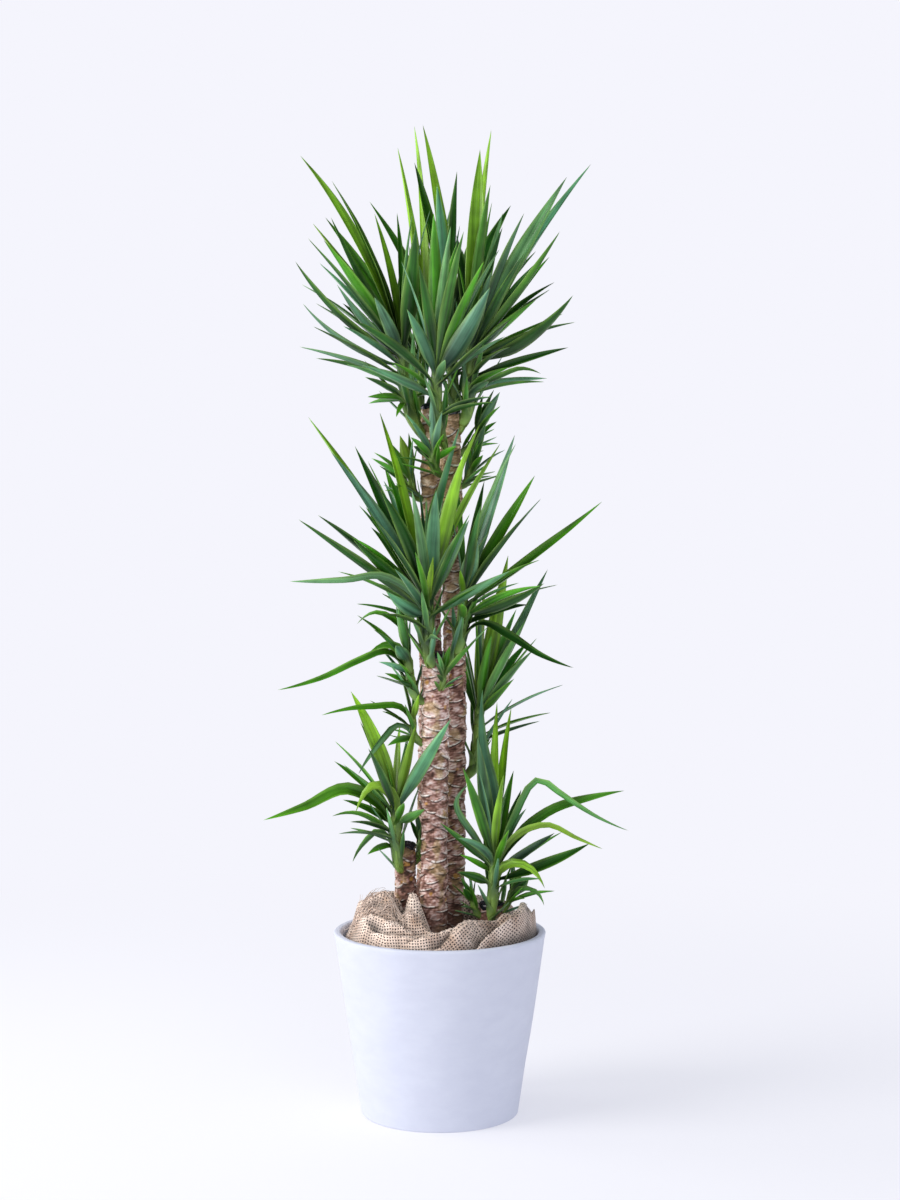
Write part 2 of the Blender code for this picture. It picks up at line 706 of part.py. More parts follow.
def around(values, angle):
    """Smooth closed curve through values spaced evenly round the circle."""
    values = np.asarray(values, float)
    place = np.asarray(angle) / (2 * math.pi) * len(values) % len(values)
    i = place.astype(int)
    u = (1 - np.cos(math.pi * (place - i))) / 2
    return values[i % len(values)] * (1 - u) + values[(i + 1) % len(values)] * u


def burlap_inner(angle):
    """Inner radius of the ring: it passes outside every cane, by a smooth maximum."""
    reach = 0
    for foot, _, _, radius, _ in CANES.values():
        out = (foot[0] * np.cos(angle) + foot[1] * np.sin(angle) + radius) * CM
        reach = reach + np.exp(BURLAP_ROUNDING * (out + BURLAP_CANE_GAP))
    return np.log(reach) / BURLAP_ROUNDING


def burlap_top(angle, across):
    """Height of the heap, with slanting folds; across is 0 at the canes and 1 at the pot's wall."""
    crest = SOIL_TOP + around(BURLAP_CREST, angle)
    edge = SOIL_TOP + BURLAP_OUTER_HEIGHT
    at = BURLAP_CREST_AT
    rise = np.sin(math.pi / 2 * np.clip(across / at, 0, 1))
    fall = np.cos(math.pi / 2 * np.clip((across - at) / (1 - at), 0, 1)) ** 0.8
    inner_side, outer_side = crest - BURLAP_INNER_DROP * (1 - rise), edge + (crest - edge) * fall
    folds = 0
    for count, slant, share in zip(BURLAP_FOLDS, BURLAP_FOLD_SLANT, BURLAP_FOLD_SHARE):
        folds = folds + share * np.sin(count * angle + slant * across)
    relief = BURLAP_FOLD_DEPTH * folds * np.sin(math.pi * np.clip(across, 0.12, 1))
    return np.where(across < at, inner_side, outer_side) + relief


def make_burlap(material, collection):
    """Burlap heaped as a closed ring: its top from burlap_top, its underside flat on the soil."""
    angles = np.linspace(0, 2 * math.pi, BURLAP_AROUND, endpoint=False)
    inner = burlap_inner(angles)
    bottom = SOIL_TOP + GAP
    outer = pot_inside(SOIL_TOP) - BURLAP_WALL_GAP
    rows = [(inner, bottom + 0 * angles)]
    for across in np.linspace(0, 1, BURLAP_ACROSS):
        rows.append((inner + (outer - inner) * across, burlap_top(angles, across)))
    rows.append((outer + 0 * angles, bottom + 0 * angles))
    sections = np.stack([[r * np.cos(angles), r * np.sin(angles), z] for r, z in rows])
    sections = sections.transpose(2, 0, 1)
    count, sides = sections.shape[:2]
    faces = []
    for i in range(count):
        for j in range(sides):
            a, b = i * sides + j, i * sides + (j + 1) % sides
            c, d = (b + sides) % (count * sides), (a + sides) % (count * sides)
            faces += [[a, d, c], [a, c, b]]
    obj = new_object("burlap", sections.reshape(-1, 3), faces, material, collection)
    bm = bmesh.new()
    bm.from_mesh(obj.data)
    bmesh.ops.recalc_face_normals(bm, faces=bm.faces)
    bm.to_mesh(obj.data)
    bm.free()
    return obj


def stem_shape(shoot, grow=0.0):
    """Round stem along its centre line, narrower to the top, with a pointed end."""
    points = np.array(shoot["stem"]) * CM
    centre, ahead = course(points, STEM_LEVELS), heading(points, STEM_LEVELS)
    radius = shoot["radius"] * CM * STEM_TAPER + grow
    side = square_to(np.array([0.0, 1.0, 0.0]), ahead)
    other = np.cross(ahead, side)
    angles = np.linspace(0, 2 * math.pi, STEM_SIDES, endpoint=False)
    flat = np.cos(angles)[None, :, None] * side[:, None] + np.sin(angles)[None, :, None] * other[:, None]
    rings = centre[:, None] + radius[:, None, None] * flat
    tip = centre[-1] + ahead[-1] * (STEM_TIP + grow)
    return loft(rings, tip)


def blade_width(t):
    """Width along the blade as a part of the widest: a narrow base, then full, then a long point."""
    ease = np.clip(t / BLADE_WIDEST, 0, 1)
    rise = BLADE_BASE + (1 - BLADE_BASE) * ease * ease * (3 - 2 * ease)
    return rise * (1 - np.clip((t - BLADE_WIDEST) / (1 - BLADE_WIDEST), 0, 1) ** BLADE_POINT)


def blade_frame(blade, t):
    """Centre line, width direction and upper normal. A blade would lie flat with its upper side
    inwards; it leaves the stem half turned from there to the wanted side, and turns the rest soon.
    The wanted side shows the listed width to the front, or is rolled by the drawn angle."""
    points = blade["points"]
    centre, ahead = course(points, t), heading(points, t)
    outward = points[-1] - points[0]
    outward = outward * [1, 1, 0] / max(np.linalg.norm(outward[:2]), 1e-6)
    inner = square_to(np.array([0.0, 0.0, 1.0]) - BLADE_LEAN * outward, ahead)
    plain = np.cross(ahead, inner)
    if blade["shown"]:
        front = square_to(TOWARDS_VIEWER, ahead)
        level = np.cross(ahead, front)
        turn = math.acos(min(1.0, blade["shown"] / blade["width"]))
        choices = [math.cos(turn) * level + s * math.sin(turn) * front for s in (1, -1)]
        align = [(np.cross(side, ahead) * inner).sum(-1).mean() for side in choices]
        best = int(abs(align[1]) > abs(align[0]))
        wanted = choices[best] * (1 if align[best] > 0 else -1)
    else:
        wanted = math.cos(blade["roll"]) * plain + math.sin(blade["roll"]) * inner
    ease = np.clip(0.5 + 0.5 * t / BLADE_TWIST_END, 0, 1)[:, None]
    side = square_to(plain * (1 - ease) + wanted * ease + 1e-4 * inner, ahead)
    return centre, side, np.cross(side, ahead)


def blade_shape(blade, grow=0.0):
    """Channelled blade of three-sided sections: two edges and a keel. grow makes it stouter."""
    t = CURVED_BLADE_SECTIONS if blade["curved"] else BLADE_SECTIONS
    centre, side, normal = blade_frame(blade, t)
    half = blade["width"] * blade_width(t)[:, None] / 2
    lift = BLADE_CHANNEL * half + grow
    rings = np.stack(
        [
            centre + side * (half + grow) + normal * lift,
            centre - normal * (BLADE_KEEL + BLADE_KEEL_SHARE * half + grow),
            centre - side * (half + grow) + normal * lift,
        ],
        axis=1,
    )
    return loft(rings, blade["points"][-1])


def usual_width(reach):
    fixed, growing = BLADE_WIDTH
    return fixed + growing * reach


def new_blade(shoot, tip, width, shown, bow, passing=(), roll=0.0, sway=0.0):
    """A blade from the shoot's stem to its tip. Steep ones start nearer to the stem's top."""
    stem = np.array(shoot["stem"]) * CM
    middle = course(stem, np.array([0.75]))[0]
    slope = unit(tip - middle)[2]
    height = LEAFY_FROM + (0.98 - LEAFY_FROM) * np.clip((slope + 0.15) / 1.1, 0, 1)
    root = course(stem, np.array([height]))[0]
    flat = (tip - root) * [1, 1, 0]
    root = root + BLADE_ROOT_DEPTH * shoot["radius"] * CM * flat / max(np.linalg.norm(flat), 1e-6)
    reach = np.linalg.norm(tip - root)
    if passing:
        between = [np.array(p) * CM + [0, sway, 0] for p in passing]
    else:
        up = square_to(np.array([0.001, 0.001, 1.0]), unit(tip - root))
        between = [(root + tip) / 2 + 0.5 * bow * reach * up + [0, sway, 0]]
    shown = shown * CM
    return {
        "points": np.array([root, *between, tip]),
        "width": max(shown, usual_width(reach)) if width is None else width,
        "shown": shown,
        "curved": bool(passing) or abs(bow) > CURVED_FROM_BOW,
        "roll": roll,
    }


def sideways_shifts():
    """Depth shifts of tip and middle that are tried for a blade, the smallest first."""
    tips = [0] + [s * k * TIP_STEP for k in range(1, TIP_STEPS + 1) for s in (-1, 1)]
    pairs = [(a, b) for a in tips for b in MIDDLE_SHIFTS]
    return sorted(pairs, key=lambda pair: abs(pair[0]) + 1.2 * abs(pair[1]))


class Room:
    """What is already in place, so that a new blade can be kept clear of it."""

    def __init__(self):
        self.taken = []

    def add(self, owner, shape):
        vertices, faces = shape
        points = np.array(vertices)
        tree = BVHTree.FromPolygons([tuple(p) for p in vertices], split_quads(faces))
        self.taken.append((owner, tree, points.min(0), points.max(0)))

    def crossings(self, owner, shape, outer):
        """Whether the shape crosses another node, and how many blades of its own its outer half does."""
        vertices, faces = shape
        points = np.array(vertices)
        if sinks_in_burlap(points):
            return True, 0
        low, high = points.min(0), points.max(0)
        own = 0
        tree = outer_tree = None
        for name, taken, taken_low, taken_high in self.taken:
            if (taken_low > high).any() or (taken_high < low).any():
                continue
            if name == owner + " stem":
                continue
            if name == owner:
                if outer_tree is None:
                    outer_tree = BVHTree.FromPolygons([tuple(p) for p in vertices], outer)
                own += bool(outer_tree.overlap(taken))
                continue
            if tree is None:
                tree = BVHTree.FromPolygons([tuple(p) for p in vertices], split_quads(faces))
            if tree.overlap(taken):
                return True, own
        return False, own


def sinks_in_burlap(points):
    angle = np.arctan2(points[:, 1], points[:, 0])
    radius = np.hypot(points[:, 0], points[:, 1])
    inner = burlap_inner(angle)
    across = np.clip((radius - inner) / (pot_inside(SOIL_TOP) - inner), 0, 1)
    low = points[:, 2] < burlap_top(angle, across) + BURLAP_BLADE_GAP
    return bool((low & (radius < RIM_RADIUS)).any())


def outer_faces(faces):
    """The faces of a blade beyond its first section, as triangles."""
    return split_quads([face for face in faces if min(face) >= 3])


def try_blade(room, name, blade):
    shape = blade_shape(blade, BLADE_CLEARANCE)
    return room.crossings(name, shape, outer_faces(shape[1]))


def place_blade(room, name, choices):
    """The first choice that crosses nothing, or else the first that crosses only its own shoot."""
    spare = None
    for blade in choices:
        blocked, own = try_blade(room, name, blade)
        if blocked:
            continue
        if not own:
            spare = blade
            break
        spare = spare or blade
    if spare is not None:
        room.add(name, blade_shape(spare, BLADE_CLEARANCE))
    return spare


def listed_choices(shoot, leaf):
    x, y, z, shown, bow, *passing = leaf
    for tip_shift, sway in sideways_shifts():
        tip = np.array([x * CM, y * CM + tip_shift, z * CM])
        yield new_blade(shoot, tip, None, shown, bow, passing, sway=sway + 0.4 * tip_shift * bool(passing))


def ruled_choices(shoot, index, seed):
    """Leaves by rule: turned by the golden angle, from steep inner ones to low outer ones."""
    random = np.random.default_rng(seed)
    middle, half = (math.radians(v) for v in shoot["facing"])
    low, high = (math.radians(v) for v in shoot["rise"])
    part = (index + 0.5) / shoot["more"]
    short, long = shoot["reach"]
    start = course(np.array(shoot["stem"]) * CM, np.array([0.55 + 0.4 * (1 - part)]))[0]
    for attempt in range(RULE_ATTEMPTS):
        turn = (index * GOLDEN_ANGLE + RULE_TURN * attempt) % (2 * math.pi) / math.pi - 1
        azimuth = middle + half * turn + random.normal(0, RULE_SPREAD[0])
        slope = high + (low - high) * part + random.normal(0, RULE_SPREAD[1])
        reach = (long + (short - long) * part ** 1.3) * random.uniform(*RULE_LENGTHS) * CM
        level = np.array([math.cos(azimuth), math.sin(azimuth), 0])
        way = math.cos(slope) * level + np.array([0, 0, math.sin(slope)])
        width = usual_width(reach) * random.uniform(*RULE_WIDTHS)
        bow, roll = random.uniform(*RULE_BOWS), random.normal(0, RULE_ROLL)
        yield new_blade(shoot, start + reach * way, width, 0, bow, roll=roll)


def place_leaves():
    """Every shoot's blades: first all the listed ones, then those of the rule."""
    room = Room()
    for name in CANES:
        room.add("cane " + name, cane_shape(name, CANE_CLEARANCE, WAX_HEIGHT + CANE_CLEARANCE))
    for name, shoot in SHOOTS.items():
        room.add(name + " stem", stem_shape(shoot, STEM_CLEARANCE))
    blades = {name: [] for name in SHOOTS}
    for name, shoot in SHOOTS.items():
        for leaf in shoot["leaves"]:
            blade = place_blade(room, name, listed_choices(shoot, leaf))
            if blade is None:
                print("no room for a listed leaf of", name, leaf)
            else:
                blades[name].append(blade)
    for number, (name, shoot) in enumerate(SHOOTS.items()):
        for index in range(shoot["more"]):
            blade = place_blade(room, name, ruled_choices(shoot, index, 100 * number + index))
            if blade is not None:
                blades[name].append(blade)
    return blades


def applied(obj):
    """Gives the object the mesh that its modifiers make."""
    graph = bpy.context.evaluated_depsgraph_get()
    mesh = bpy.data.meshes.new_from_object(obj.evaluated_get(graph))
    obj.modifiers.clear()
    obj.data = mesh


def keep_outer_body(mesh):
    """Removes hollows sealed by the join and loose scraps: every closed shell but the largest."""
    bm = bmesh.new()
    bm.from_mesh(mesh)
    shells, seen = [], set()
    for start in bm.faces:
        if start in seen:
            continue
        shell, ahead = [], [start]
        seen.add(start)
        while ahead:
            face = ahead.pop()
            shell.append(face)
            for other in {f for edge in face.edges for f in edge.link_faces} - seen:
                seen.add(other)
                ahead.append(other)
        shells.append(shell)
    shells.sort(key=len)
    for shell in shells[:-1]:
        bmesh.ops.delete(bm, geom=shell, context="FACES")
    bm.to_mesh(mesh)
    bm.free()


def make_shoot(name, shoot, blades, material, collection, cutters):
    """A stem seated on its cane, and its blades joined to it. The blades number too many for EXACT."""
    vertices, faces = stem_shape(shoot)
    stem = new_object("shoot_" + name, vertices, split_quads(faces), material, collection)
    vertices, faces = cane_shape(shoot["cane"], SCAR_RELIEF + GAP, WAX_HEIGHT + CANE_CLEARANCE)
    seat = new_object("seat_" + name, vertices, split_quads(faces), material, cutters)
    cut = stem.modifiers.new("Seat", "BOOLEAN")
    cut.operation = "DIFFERENCE"
    cut.object = seat
    applied(stem)
    bpy.data.objects.remove(seat)
    leaves = bpy.data.collections.new("leaves " + name)
    bpy.context.scene.collection.children.link(leaves)
    for i, blade in enumerate(blades):
        vertices, faces = blade_shape(blade)
        new_object(f"leaf_{name}_{i}", vertices, split_quads(faces), material, leaves)
    join = stem.modifiers.new("Leaves", "BOOLEAN")
    join.operation = "UNION"
    join.operand_type = "COLLECTION"
    join.collection = leaves
    join.solver = "MANIFOLD"
    applied(stem)
    keep_outer_body(stem.data)
    for obj in list(leaves.objects):
        bpy.data.objects.remove(obj)
    bpy.data.collections.remove(leaves)
    return stem


def new_collection(name, hidden=False):
    collection = bpy.data.collections.new(name)
    collection.hide_render = hidden
    bpy.context.scene.collection.children.link(collection)
    return collection


def main():
    clear_scene()
    plant = new_collection("potted yucca")
    cutters = new_collection("cutters", hidden=True)
    materials = {name: new_material(name) for name in COLOURS}
    make_pot(materials["planter"], plant)
    make_soil(materials["soil"], plant, cutters)
    make_burlap(materials["burlap"], plant)
    for name in CANES:
        make_cane(name, materials["bark"], plant)
        make_wax_cap(name, materials["wax"], plant)
    for name, blades in place_leaves().items():
        make_shoot(name, SHOOTS[name], blades, materials["leaf"], plant, cutters)
    for cutter in cutters.objects:
        cutter.hide_render = True
        cutter.display_type = "WIRE"


main()
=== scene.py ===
import math

import bpy
import numpy as np
from mathutils.kdtree import KDTree
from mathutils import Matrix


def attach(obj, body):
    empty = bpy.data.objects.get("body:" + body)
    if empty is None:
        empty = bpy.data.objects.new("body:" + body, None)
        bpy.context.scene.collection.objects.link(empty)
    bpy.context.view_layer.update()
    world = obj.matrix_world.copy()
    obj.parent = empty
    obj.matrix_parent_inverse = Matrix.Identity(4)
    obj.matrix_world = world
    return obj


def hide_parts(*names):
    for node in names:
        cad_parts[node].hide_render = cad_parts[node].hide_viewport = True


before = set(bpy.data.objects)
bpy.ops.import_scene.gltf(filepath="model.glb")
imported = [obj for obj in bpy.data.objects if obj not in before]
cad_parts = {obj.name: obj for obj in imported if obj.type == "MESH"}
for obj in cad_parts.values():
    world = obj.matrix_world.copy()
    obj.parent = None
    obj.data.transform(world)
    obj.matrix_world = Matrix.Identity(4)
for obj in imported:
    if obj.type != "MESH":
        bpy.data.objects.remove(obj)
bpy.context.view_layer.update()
cm = 0.01
goldenAngle = math.pi * (3 - math.sqrt(5))


def linear(colour):
    # sRGB hex to linear light: c / 12.92 up to 0.04045, and ((c + 0.055) / 1.055) ^ 2.4 above it.
    parts = np.array([int(colour[i : i + 2], 16) / 255 for i in (1, 3, 5)])
    return np.where(parts <= 0.04045, parts / 12.92, ((parts + 0.055) / 1.055) ** 2.4)


def rgba(colour):
    return (*linear(colour), 1.0)


def unit(vectors):
    return vectors / np.linalg.norm(vectors, axis=-1, keepdims=True)


def squareTo(vector, direction):
    # The part of vector at right angles to each direction, at length 1.
    return unit(vector - (direction * vector).sum(-1, keepdims=True) * direction)


def ease(x):
    # 0 to 1 with level ends: 3x^2 - 2x^3.
    x = np.clip(x, 0, 1)
    return x * x * (3 - 2 * x)


def between(x, low, high):
    return ease((x - low) / (high - low))


def ripple(points, size, seed, waves=20):
    # Even roughness about 1 high: a sum of sine waves in drawn directions, each about size long.
    random = np.random.default_rng(seed)
    ways = unit(random.normal(size=(waves, 3)))
    lengths, phases = size * random.uniform(0.7, 1.5, waves), random.uniform(0, 2 * math.pi, waves)
    total = np.zeros(points.shape[:-1])
    for way, length, phase in zip(ways, lengths, phases):
        total += np.sin(points @ way * (2 * math.pi / length) + phase)
    return total * math.sqrt(2 / waves)


def course(points, t):
    # Smooth curve through the points: cubic pieces whose slopes come from the neighbouring points.
    points, t = np.asarray(points, float), np.asarray(t, float)
    steps = np.linalg.norm(np.diff(points, axis=0), axis=1)
    knots = np.concatenate([[0.0], np.cumsum(steps)]) / steps.sum()
    slopes = np.gradient(points, knots, axis=0, edge_order=2)
    i = np.clip(np.searchsorted(knots, t, side="right") - 1, 0, len(knots) - 2)
    span = (knots[i + 1] - knots[i])[:, None]
    u = (t - knots[i])[:, None] / span
    start = (1 + 2 * u) * (1 - u) ** 2 * points[i] + u * (1 - u) ** 2 * span * slopes[i]
    return start + u * u * (3 - 2 * u) * points[i + 1] + u * u * (u - 1) * span * slopes[i + 1]


def heading(points, t):
    # Direction of the curve at each t.
    t = np.asarray(t, float)
    return unit(course(points, np.minimum(t + 0.01, 1)) - course(points, np.maximum(t - 0.01, 0)))


def tubeFaces(rows, around, first=0):
    # Quads of a closed tube of rings, outwards for rings that run anticlockwise seen from its end.
    i, j = np.meshgrid(np.arange(rows - 1), np.arange(around), indexing="ij")
    a, b = first + i * around + j, first + i * around + (j + 1) % around
    return np.stack([a, b, b + around, a + around], -1).reshape(-1, 4)


def fan(ring, tip, outwards):
    # Triangles from a ring to one point.
    a, b = (ring, np.roll(ring, -1)) if outwards else (np.roll(ring, -1), ring)
    return np.stack([a, b, np.full(len(ring), tip)], -1)


def circle(count):
    return np.linspace(0, 2 * math.pi, count, endpoint=False)


def outwards(angle):
    # The level direction at each angle: (cos a, sin a, 0).
    return np.stack([np.cos(angle), np.sin(angle), 0 * angle], -1)


def closedTube(points, low, high, rising=True):
    # A tube over rows of points, and one point at each end that closes it.
    rows, count = points.shape[:2]
    sides, ring = tubeFaces(rows, count), np.arange(count)
    faces = [
        sides if rising else sides[:, ::-1], fan(ring, rows * count, not rising),
        fan(ring + (rows - 1) * count, rows * count + 1, rising),
    ]
    return np.concatenate([points.reshape(-1, 3), [low, high]]), faces


def towards(colour, other, part):
    # Part of the way from a colour to another one.
    return colour + (other - colour) * part


def newPiece(name, points, faces, material, nodes=(), uv=None, tint=None):
    # faces is a list of whole arrays of quads or triangles; uv is in metres, for each point or for each
    # corner of each face, and tint is linear.
    mesh = bpy.data.meshes.new(name)
    mesh.from_pydata(points.reshape(-1, 3).tolist(), [], [f for part in faces for f in part.tolist()])
    if uv is not None:
        corners = np.empty(len(mesh.loops), int)
        mesh.loops.foreach_get("vertex_index", corners)
        layer = mesh.uv_layers.new(name="UVMap")
        uv = uv.reshape(-1, 2) if uv.size == 2 * len(corners) else uv.reshape(-1, 2)[corners]
        layer.data.foreach_set("uv", uv.astype(np.float32).ravel())
    if tint is not None:
        layer = mesh.color_attributes.new("tint", "FLOAT_COLOR", "POINT")
        tint = tint.reshape(-1, 3)
        layer.data.foreach_set("color", np.c_[tint, np.ones(len(tint))].astype(np.float32).ravel())
    mesh.materials.append(material)
    mesh.shade_smooth()
    piece = bpy.data.objects.new(name, mesh)
    bpy.context.scene.collection.objects.link(piece)
    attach(piece, "root")
    if nodes:
        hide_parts(*nodes)
    return piece


def newMaterial(name):
    material = bpy.data.materials.new(name)
    material.use_nodes = True
    material.node_tree.nodes.clear()
    return material


def addNode(owner, kind, settings=None, links=None):
    # settings are properties or inputs of the node, and links say which output feeds which input.
    node = owner.node_tree.nodes.new("ShaderNode" + kind)
    for key, value in (settings or {}).items():
        if key == "stops":
            ramp = node.color_ramp.elements
            while len(ramp) < len(value):
                ramp.new(0.5)
            for element, (place, colour) in zip(ramp, value):
                element.position, element.color = place, rgba(colour)
        elif isinstance(key, int) or key in node.inputs:
            node.inputs[key].default_value = value
        else:
            setattr(node, key, value)
    for key, (source, output) in (links or {}).items():
        owner.node_tree.links.new(source.outputs[output], node.inputs[key])
    return node


# Camera and studio: a level view of the whole plant, a large soft light from the left, pale surroundings.
studio = {
    "cameraAt": (0.0178, -3.9, 1.11),
    "cameraTilt": 3.1,  # degrees downwards
    "lens": 67.5,  # mm, on a 36 mm sensor
    "key": {"at": (-4.3, -1.9, 3.0), "aim": (0, 0, 0.9), "size": 3.4, "power": 190, "colour": "#fffcf6"},
    "fill": {"at": (1.5, -4.6, 2.6), "aim": (0, 0, 0.8), "size": 2.5, "power": 22, "colour": "#f6f7ff"},
    "rim": {"at": (-3.6, 1.0, 1.5), "aim": (0, 0, 0.9), "size": 1.8, "power": 30, "colour": "#fffdfa"},
    "surroundings": "#f0f3ff",
    "surroundLight": 0.74,
    "mirrorLight": 0.05,  # of the surroundings in glossy surfaces: the room behind the camera is dim
    "backdrop": "#f5f5fd",
    "floor": "#f7f7fa",
    "floorRadius": 40,
    "floorFades": (0.3, 2.4),  # from the lit floor to the backdrop's own tone
    "floorGlow": 0.45,  # how far it has that tone already where it starts to fade
}


def makeStudio():
    scene = bpy.context.scene
    scene.view_settings.view_transform = "Standard"
    camera = bpy.data.cameras.new("camera")
    camera.lens, camera.sensor_width, camera.clip_end = studio["lens"], 36, 200
    holder = bpy.data.objects.new("camera", camera)
    holder.location = studio["cameraAt"]
    holder.rotation_euler = (math.radians(90 - studio["cameraTilt"]), 0, 0)
    scene.collection.objects.link(holder)
    scene.camera = holder
    for name in ("key", "fill", "rim"):
        look = studio[name]
        lamp = bpy.data.lights.new(name, "AREA")
        lamp.shape, lamp.size, lamp.energy = "DISK", look["size"], look["power"]
        lamp.color = linear(look["colour"])
        light = bpy.data.objects.new(name, lamp)
        light.location = look["at"]
        aim = type(holder.location)(look["aim"]) - light.location
        light.rotation_euler = aim.to_track_quat("-Z", "Y").to_euler()
        scene.collection.objects.link(light)
    world = scene.world or bpy.data.worlds.new("surroundings")
    scene.world = world
    world.use_nodes = True
    world.node_tree.nodes.clear()
    seen = addNode(world, "Background", {"Color": rgba(studio["backdrop"]), "Strength": 1.0})
    path = addNode(world, "LightPath")
    fall = studio["mirrorLight"] - studio["surroundLight"]
    power = addNode(
        world, "Math", {"operation": "MULTIPLY_ADD", 1: fall, 2: studio["surroundLight"]},
        {0: (path, "Is Glossy Ray")},
    )
    lit = addNode(world, "Background", {"Color": rgba(studio["surroundings"])}, {"Strength": (power, 0)})
    mixed = addNode(world, "MixShader", links={0: (path, "Is Camera Ray"), 1: (lit, 0), 2: (seen, 0)})
    addNode(world, "OutputWorld", links={"Surface": (mixed, 0)})


def makeFloor():
    # A disc: rings of growing radius about one middle point.
    radii, count = studio["floorRadius"] * np.linspace(0, 1, 12)[1:] ** 2, 96
    rings = radii[:, None, None] * outwards(circle(count))
    points = np.concatenate([rings.reshape(-1, 3), [[0, 0, 0]]])
    faces = [tubeFaces(len(radii), count)[:, ::-1], fan(np.arange(count), len(points) - 1, True)]
    # Painted seamless studio floor: matt, and lost in the backdrop further away.
    material = newMaterial("painted studio floor")
    near, far = studio["floorFades"]
    place = addNode(material, "TexCoord")
    away = addNode(material, "VectorMath", {"operation": "LENGTH"}, {0: (place, "Object")})
    fading = {"From Min": near, "From Max": far, "To Min": studio["floorGlow"]}
    fade = addNode(
        material, "MapRange", {"interpolation_type": "SMOOTHSTEP", **fading}, {"Value": (away, "Value")}
    )
    paint = addNode(material, "BsdfDiffuse", {"Color": rgba(studio["floor"])})
    glow = addNode(material, "Emission", {"Color": rgba(studio["backdrop"])})
    mixed = addNode(material, "MixShader", links={0: (fade, 0), 1: (paint, 0), 2: (glow, 0)})
    addNode(material, "OutputMaterial", links={"Surface": (mixed, 0)})
    mesh = bpy.data.meshes.new("floor")
    mesh.from_pydata(points.tolist(), [], [f for part in faces for f in part.tolist()])
    mesh.materials.append(material)
    floor = bpy.data.objects.new("floor", mesh)
    bpy.context.scene.collection.objects.link(floor)


# Planter: a turned, tapered shell of fibre-clay, with an even wall and a narrow rounded rim.
pot = {
    "rimRadius": 0.185,
    "footRadius": 0.137,
    "height": 0.321,
    "wall": 0.013,
    "floor": 0.014,
    "rimRounding": 0.0042,
    "footRounding": 0.0035,
    "floorRounding": 0.006,  # inside, between the wall and the floor
    "wander": (0.0004, 0.12),  # how far the hand-cast wall strays, and over what length
    "around": 192,  # points round it
    "paint": ("#d0d4e3", "#d5d9e7"),  # darker and lighter blotches
    "blotch": 0.05,  # about how far apart they are
}


def potOutside(z):
    return pot["footRadius"] + (pot["rimRadius"] - pot["footRadius"]) * z / pot["height"]


def potInside(z):
    return potOutside(z) - pot["wall"]


def quarterTurn(radius, z, rounding, start, steps=6):
    # A rounded corner: a quarter circle about (radius, z) from the angle start, anticlockwise.
    angle = start + np.linspace(0, math.pi / 2, steps)
    return np.stack([radius + rounding * np.cos(angle), z + rounding * np.sin(angle)], -1)


def turned(profile, count):
    # The profile of (radius, z) points turned about the z axis: (r cos a, r sin a, z).
    angle, r, z = circle(count), profile[:, :1], profile[:, 1:]
    return np.stack([r * np.cos(angle), r * np.sin(angle), z + 0 * angle], -1)


def potMaterial():
    # Fibre-clay, cast and sealed: matt and mineral, with soft blotches, a fine grain and a few pinholes.
    material = newMaterial("cast fibre-clay")
    place = addNode(material, "TexCoord")
    low = addNode(material, "Mapping", {"Scale": (1, 1, 2.2)}, {"Vector": (place, "Object")})
    blotch = addNode(
        material, "TexNoise", {"Scale": 1 / pot["blotch"], "Detail": 5, "Roughness": 0.6},
        {"Vector": (low, 0)},
    )
    dark, light = pot["paint"]
    colour = addNode(material, "ValToRGB", {"stops": [(0.35, dark), (0.68, light)]}, {"Fac": (blotch, 0)})
    # Sand grit of about 1 mm.
    grain = addNode(material, "TexNoise", {"Scale": 900, "Detail": 3}, {"Vector": (place, "Object")})
    cells = addNode(material, "TexVoronoi", {"Scale": 45}, {"Vector": (place, "Object")})
    # Pinholes of 1 to 2 mm, about 20 mm apart, darker inside as painted shade.
    pins = addNode(
        material, "MapRange", {"From Min": 0.03, "From Max": 0.055}, {"Value": (cells, "Distance")},
    )
    pick = addNode(material, "SeparateColor", links={0: (cells, "Color")})
    few = addNode(material, "Math", {"operation": "GREATER_THAN", 1: 0.2}, {0: (pick, 0)})
    holes = addNode(material, "Math", {"operation": "MAXIMUM"}, {0: (pins, 0), 1: (few, 0)})
    shade = addNode(material, "MapRange", {"To Min": 0.8, "To Max": 1.0}, {"Value": (holes, 0)})
    tinted = addNode(material, "VectorMath", {"operation": "SCALE"}, {0: (colour, 0), "Scale": (shade, 0)})
    relief = addNode(material, "Math", {"operation": "MULTIPLY_ADD", 1: 0.12}, {0: (grain, 0), 2: (holes, 0)})
    bump = addNode(material, "Bump", {"Strength": 0.25, "Distance": 0.0006}, {"Height": (relief, 0)})
    shader = addNode(
        material, "BsdfPrincipled", {"Roughness": 0.72, "IOR": 1.45},
        {"Base Color": (tinted, 0), "Normal": (bump, 0)},
    )
    addNode(material, "OutputMaterial", links={"Surface": (shader, 0)})
    return material


